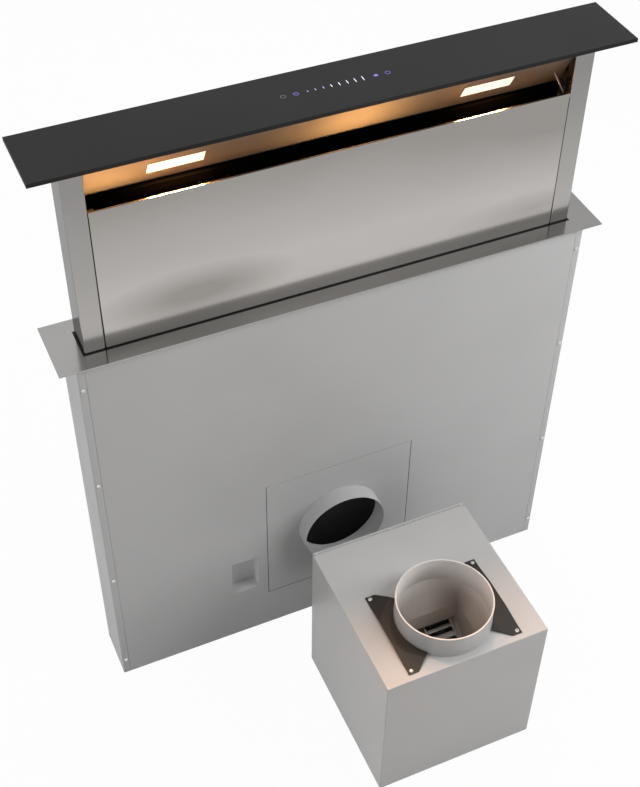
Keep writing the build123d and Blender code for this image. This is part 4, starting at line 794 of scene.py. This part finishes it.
# %% [markdown]
# ## Pan-head screws
# Small bright screws hold the casing's covers, the motor box's back and the bracket tabs. A plain
# disc would do from far away, but each real head is domed and has a cross recess that catches the
# light. The head is built ring by ring, the cross is cut out of its crown, and its floor is set
# down with sloping walls. One mesh serves all screws of a size. The casing's screws sit in its
# lips, the motor box's in the lip of its back, and the tabs' in the bracket corners.


# %% The cross recess
def cross_corners(head, radius, height):
    """The corners of a cross on the head's crown, one after the other."""
    arm, half_width = 0.48 * radius * MM, 0.13 * radius * MM
    quarter = [(arm, -half_width), (arm, half_width), (half_width, half_width)]
    cross = []
    for turn in range(4):
        for x, y in quarter:
            across = Vector((x, y, 0))
            across.rotate(Matrix.Rotation(turn * pi / 2, 3, "Z"))
            cross.append(head.verts.new(across + Vector((0, 0, height * MM))))
    return cross


# %% A screw head with that recess
def screw_head(name, radius, height):
    """A domed head of these millimetres that lies on z = 0 and faces +Z."""
    head = bmesh.new()
    around = 20
    rings = []
    for radius_share, height_share in ((1.0, 0.0), (1.0, 0.35), (0.86, 0.78), (0.62, 1.0)):
        ring = []
        for i in range(around):
            angle = 2 * pi * i / around
            across = radius * radius_share * MM
            place = (across * cos(angle), across * sin(angle), height * height_share * MM)
            ring.append(head.verts.new(place))
        rings.append(ring)
    for low_ring, high_ring in zip(rings, rings[1:]):
        for i in range(around):
            after = (i + 1) % around
            head.faces.new((low_ring[i], low_ring[after], high_ring[after], high_ring[i]))
    crown_edges = [head.edges.get((rings[-1][i], rings[-1][i - 1])) for i in range(around)]
    cross = cross_corners(head, radius, height)
    cross_edges = [head.edges.new((cross[i - 1], cross[i])) for i in range(len(cross))]
    bmesh.ops.triangle_fill(head, use_beauty=True, edges=crown_edges + cross_edges)
    floor_share, floor_height = 0.7, 0.45 * height * MM
    floor_corners = []
    for corner in cross:
        place = (corner.co.x * floor_share, corner.co.y * floor_share, floor_height)
        floor_corners.append(head.verts.new(place))
    for i in range(len(cross)):
        head.faces.new((cross[i - 1], cross[i], floor_corners[i], floor_corners[i - 1]))
    head.faces.new(floor_corners)
    bmesh.ops.recalc_face_normals(head, faces=head.faces)
    mesh = bpy.data.meshes.new(name)
    head.to_mesh(mesh)
    head.free()
    return mesh


# %% Handing out screws
plated_steel = grainy_metal("plated_steel", (0.80, 0.80, 0.79), 0.5, 0.01, 0.26)


def fasten(name, mesh, place, outward, body):
    """Puts a screw head at a place in millimetres; it faces outward and rides on a body."""
    screw = bpy.data.objects.new(name, mesh)
    screw.location = Vector(place) * MM
    screw.rotation_euler = Vector(outward).to_track_quat("Z", "Y").to_euler()
    scene.collection.objects.link(screw)
    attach(screw, body)


casing_screw = screw_head("casing_screw", 3.4, 2.0)
lip_screw = screw_head("lip_screw", 2.1, 1.2)
bracket_screw = screw_head("bracket_screw", 3.6, 2.0)
for mesh in (casing_screw, lip_screw, bracket_screw):
    mesh.materials.append(plated_steel)
print("faces of a casing screw's head:", len(casing_screw.polygons))

# %% Casing screws, in the middle of each lip's flat
lip_low, lip_high = cad_corners("casing_side_right")
lip_fold, screw_heights = 5.5, (39, 269, 510, 719)
screw_x, casing_face = lip_low.x + lip_fold, lip_high.y
for side_name, side in (("left", -1), ("right", 1)):
    for face_name, face in (("front", -1), ("back", 1)):
        for number, height in enumerate(screw_heights):
            name = f"casing_screw_{side_name}_{face_name}_{number}"
            place = (side * screw_x, face * casing_face, height)
            fasten(name, casing_screw, place, (0, face, 0), "casing")

# %% Screws of the motor box and its brackets
shell_low, shell_high = cad_corners("motor_box_shell")
lip_spacing, lip_sheet, below_lip_edge = 137.5, 1.2, 2.3
shell_middle = (shell_low.x + shell_high.x) / 2
for number in range(3):
    x = shell_middle + (number - 1) * lip_spacing
    place = (x, shell_high.y - lip_sheet, shell_high.z - below_lip_edge)
    fasten(f"lip_screw_{number}", lip_screw, place, (0, -1, 0), "motor_unit")
tab_x, tab_y, tab_sheet = 95, 75, 1.5
tab_middle = Vector((collar_axis.x, collar_axis.y, bracket_low.z)) / MM
for x_name, x in (("left", -tab_x), ("right", tab_x)):
    for y_name, y in (("front", -tab_y), ("back", tab_y)):
        place = tab_middle + Vector((x, y, tab_sheet))
        fasten(f"tab_screw_{x_name}_{y_name}", bracket_screw, place, (0, 0, 1), "motor_unit")
screw_meshes = (casing_screw, lip_screw, bracket_screw)
placed_screws = [piece for piece in scene.objects if piece.data in screw_meshes]
print("screws:", len(placed_screws))

# %% [markdown]
# ## Black cord in the outlet plate's seam, as painted shade
# A thin black cord lies in the narrow seam down both sides of the outlet plate and along its foot,
# as painted shade for the seam's dark gap. A dark line in the material would slide off the seam if
# the plate grew. A round cord swept along the seam stays in it, and its round face catches a faint
# light.


# %% Wires and cords swept along a line of points
def swept_wire(name, points, thickness, body, material):
    """A round wire of this thickness through points, all in millimetres, as a mesh."""
    line = bpy.data.curves.new(name, "CURVE")
    line.dimensions = "3D"
    spline = line.splines.new("POLY")
    spline.points.add(len(points) - 1)
    for point, place in zip(spline.points, points):
        point.co = (*(Vector(place) * MM), 1)
    line.bevel_depth = thickness / 2 * MM
    line.bevel_resolution = 2
    line.use_fill_caps = True
    drawn = bpy.data.objects.new(name + "_line", line)
    mesh = bpy.data.meshes.new_from_object(drawn)
    bpy.data.objects.remove(drawn)
    mesh.materials.clear()
    mesh.materials.append(material)
    mesh.name = name
    wire = bpy.data.objects.new(name, mesh)
    scene.collection.objects.link(wire)
    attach(wire, body)
    return wire


# %% The cord in its seam
plate_low, plate_high = cad_corners("outlet_plate")
hem_width, cord_end_drop = 9.4, 9.8
cord_thickness, cord_sink = 1.2, 0.45
seam_x, seam_y = plate_high.x - hem_width, plate_low.y + cord_sink
seam_foot, seam_top = plate_low.z + hem_width, plate_high.z - cord_end_drop
seam_path = [(-seam_x, seam_top), (-seam_x, seam_foot), (seam_x, seam_foot), (seam_x, seam_top)]
seam_points = [(x, seam_y, z) for x, z in seam_path]
# Painted shade: a black cord stands for the seam's dark gap.
seam_shade_cord = swept_wire(
    "seam_shade_cord", seam_points, cord_thickness, "casing", seal_rubber
)
print("seam cord:", len(seam_shade_cord.data.polygons), "faces")

# %% [markdown]
# ## Catch spring
# At the right end of the intake slot a small bright coil spring runs from the deflector down to the
# panel's catch. Its coils are what the eye sees, so the wire is wound round a line between the two,
# with a short straight tail at each end. A striped cylinder would have no gaps between its coils.

# %% Coil
spring_foot = cad_corners("panel_catches")[1] + Vector((-4.0, -2.9, -0.3))
spring_top = spring_foot + Vector((-15.5, 7.5, 33.8))
wire_thickness, coil_radius, coil_turns, points_per_turn = 0.6, 1.1, 14, 10
tail_share = 0.12
run = spring_foot - spring_top
sideways = run.cross(Vector((0, 0, 1))).normalized()
upward = run.cross(sideways).normalized()
coil = [spring_top]
for i in range(coil_turns * points_per_turn + 1):
    share_done = i / (coil_turns * points_per_turn)
    turn = 2 * pi * coil_turns * share_done
    along = spring_top + run * (tail_share + (1 - 2 * tail_share) * share_done)
    coil.append(along + (sideways * cos(turn) + upward * sin(turn)) * coil_radius)
coil.append(spring_foot)
swept_wire("catch_spring", coil, wire_thickness, "column", plated_steel)
print("spring:", round(run.length, 1), "mm long with", coil_turns, "turns")

# %% [markdown]
# ## Signs of the touch field
# Rings, ticks and an oval are printed under the glass and lit from below: two rings on the left,
# eight ticks that grow with the fan's speed, then an oval and a ring. They are thin shapes a few
# hundredths of a millimetre above the glass. Painted in the glass's own material they would need a
# list of places in nodes, and as shapes each can have its own light.


# %% Shapes for the signs
def sign(name, rings, place_x, material, height=0.05):
    """A flat sign on the glass: one outline, or an outer and an inner one, in millimetres."""
    shape = bmesh.new()
    loops = []
    for outline in rings:
        corners = [shape.verts.new((x * MM, y * MM, 0)) for x, y in outline]
        loops.append([shape.edges.new((corners[i - 1], corners[i])) for i in range(len(corners))])
    edges = [edge for loop in loops for edge in loop]
    filled = bmesh.ops.triangle_fill(shape, use_beauty=True, edges=edges)
    faces = [face for face in filled["geom"] if isinstance(face, bmesh.types.BMFace)]
    raised = bmesh.ops.extrude_face_region(shape, geom=faces)
    top = [vert for vert in raised["geom"] if isinstance(vert, bmesh.types.BMVert)]
    bmesh.ops.translate(shape, vec=(0, 0, height * MM), verts=top)
    bmesh.ops.recalc_face_normals(shape, faces=shape.faces)
    mesh = bpy.data.meshes.new(name)
    shape.to_mesh(mesh)
    shape.free()
    mesh.materials.append(material)
    mark = bpy.data.objects.new(name, mesh)
    mark.location = (place_x * MM, row_y * MM, glass_top)
    scene.collection.objects.link(mark)
    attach(mark, "column")


# %% Ovals, and ink that is lit
def oval(half_x, half_y, corners=28):
    """Corners of an oval about the middle."""
    turns = [2 * pi * i / corners for i in range(corners)]
    return [(half_x * cos(turn), half_y * sin(turn)) for turn in turns]


def lit_print(name, tone, glow, strength):
    """Printed ink with a faint mottle, lit from below."""
    material, mat_nodes, links, shader = new_material(name)
    ink = object_noise(mat_nodes, links, 0.5, detail=2)
    dark = tuple(channel * 0.8 for channel in tone)
    links.new(two_tones(mat_nodes, links, ink, dark, tone), shader.inputs["Base Color"])
    links.new(between(mat_nodes, links, ink, 0.35, 0.5), shader.inputs["Roughness"])
    shader.inputs["Emission Color"].default_value = (*glow, 1)
    shader.inputs["Emission Strength"].default_value = strength
    return material


# %% The signs in their row
glass_top, row_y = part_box("top_plate")[1].z, 1.5
dim_ink = lit_print("dim_ink", (0.10, 0.10, 0.12), (0.5, 0.5, 0.6), 0.12)
violet_ink = lit_print("violet_ink", (0.10, 0.08, 0.25), (0.25, 0.20, 0.9), 0.45)
blue_ink = lit_print("blue_ink", (0.2, 0.2, 0.35), (0.45, 0.50, 1.0), 0.45)
white_ink = lit_print("white_ink", (0.45, 0.45, 0.5), (0.80, 0.85, 1.0), 0.5)
ring_lines = [oval(3.9, 3.9), oval(3.2, 3.2)]
sign("sign_lock", ring_lines, -78.7, dim_ink)
sign("sign_power", ring_lines, -59.8, violet_ink)
sign("sign_power_mark", [oval(0.5, 1.6)], -59.8, violet_ink)
print("signs lie at z", round(glass_top, 4))

# %% Ticks for the fan's speed, an oval and a ring
tick_places = (-42.5, -31.0, -19.0, -7.2, 4.8, 16.7, 28.6, 40.5)
shortest_tick, tick_growth = 2.0, 4.0
for number, x in enumerate(tick_places):
    half_length = shortest_tick + tick_growth * number / (len(tick_places) - 1)
    tick_ink = blue_ink if number < 3 else white_ink
    sign(f"sign_speed_{number}", [oval(0.7, half_length)], x, tick_ink)
sign("sign_light", [oval(3.4, 2.6)], 60.1, violet_ink)
sign("sign_timer", ring_lines, 78.1, violet_ink)
print("ticks:", len(tick_places))
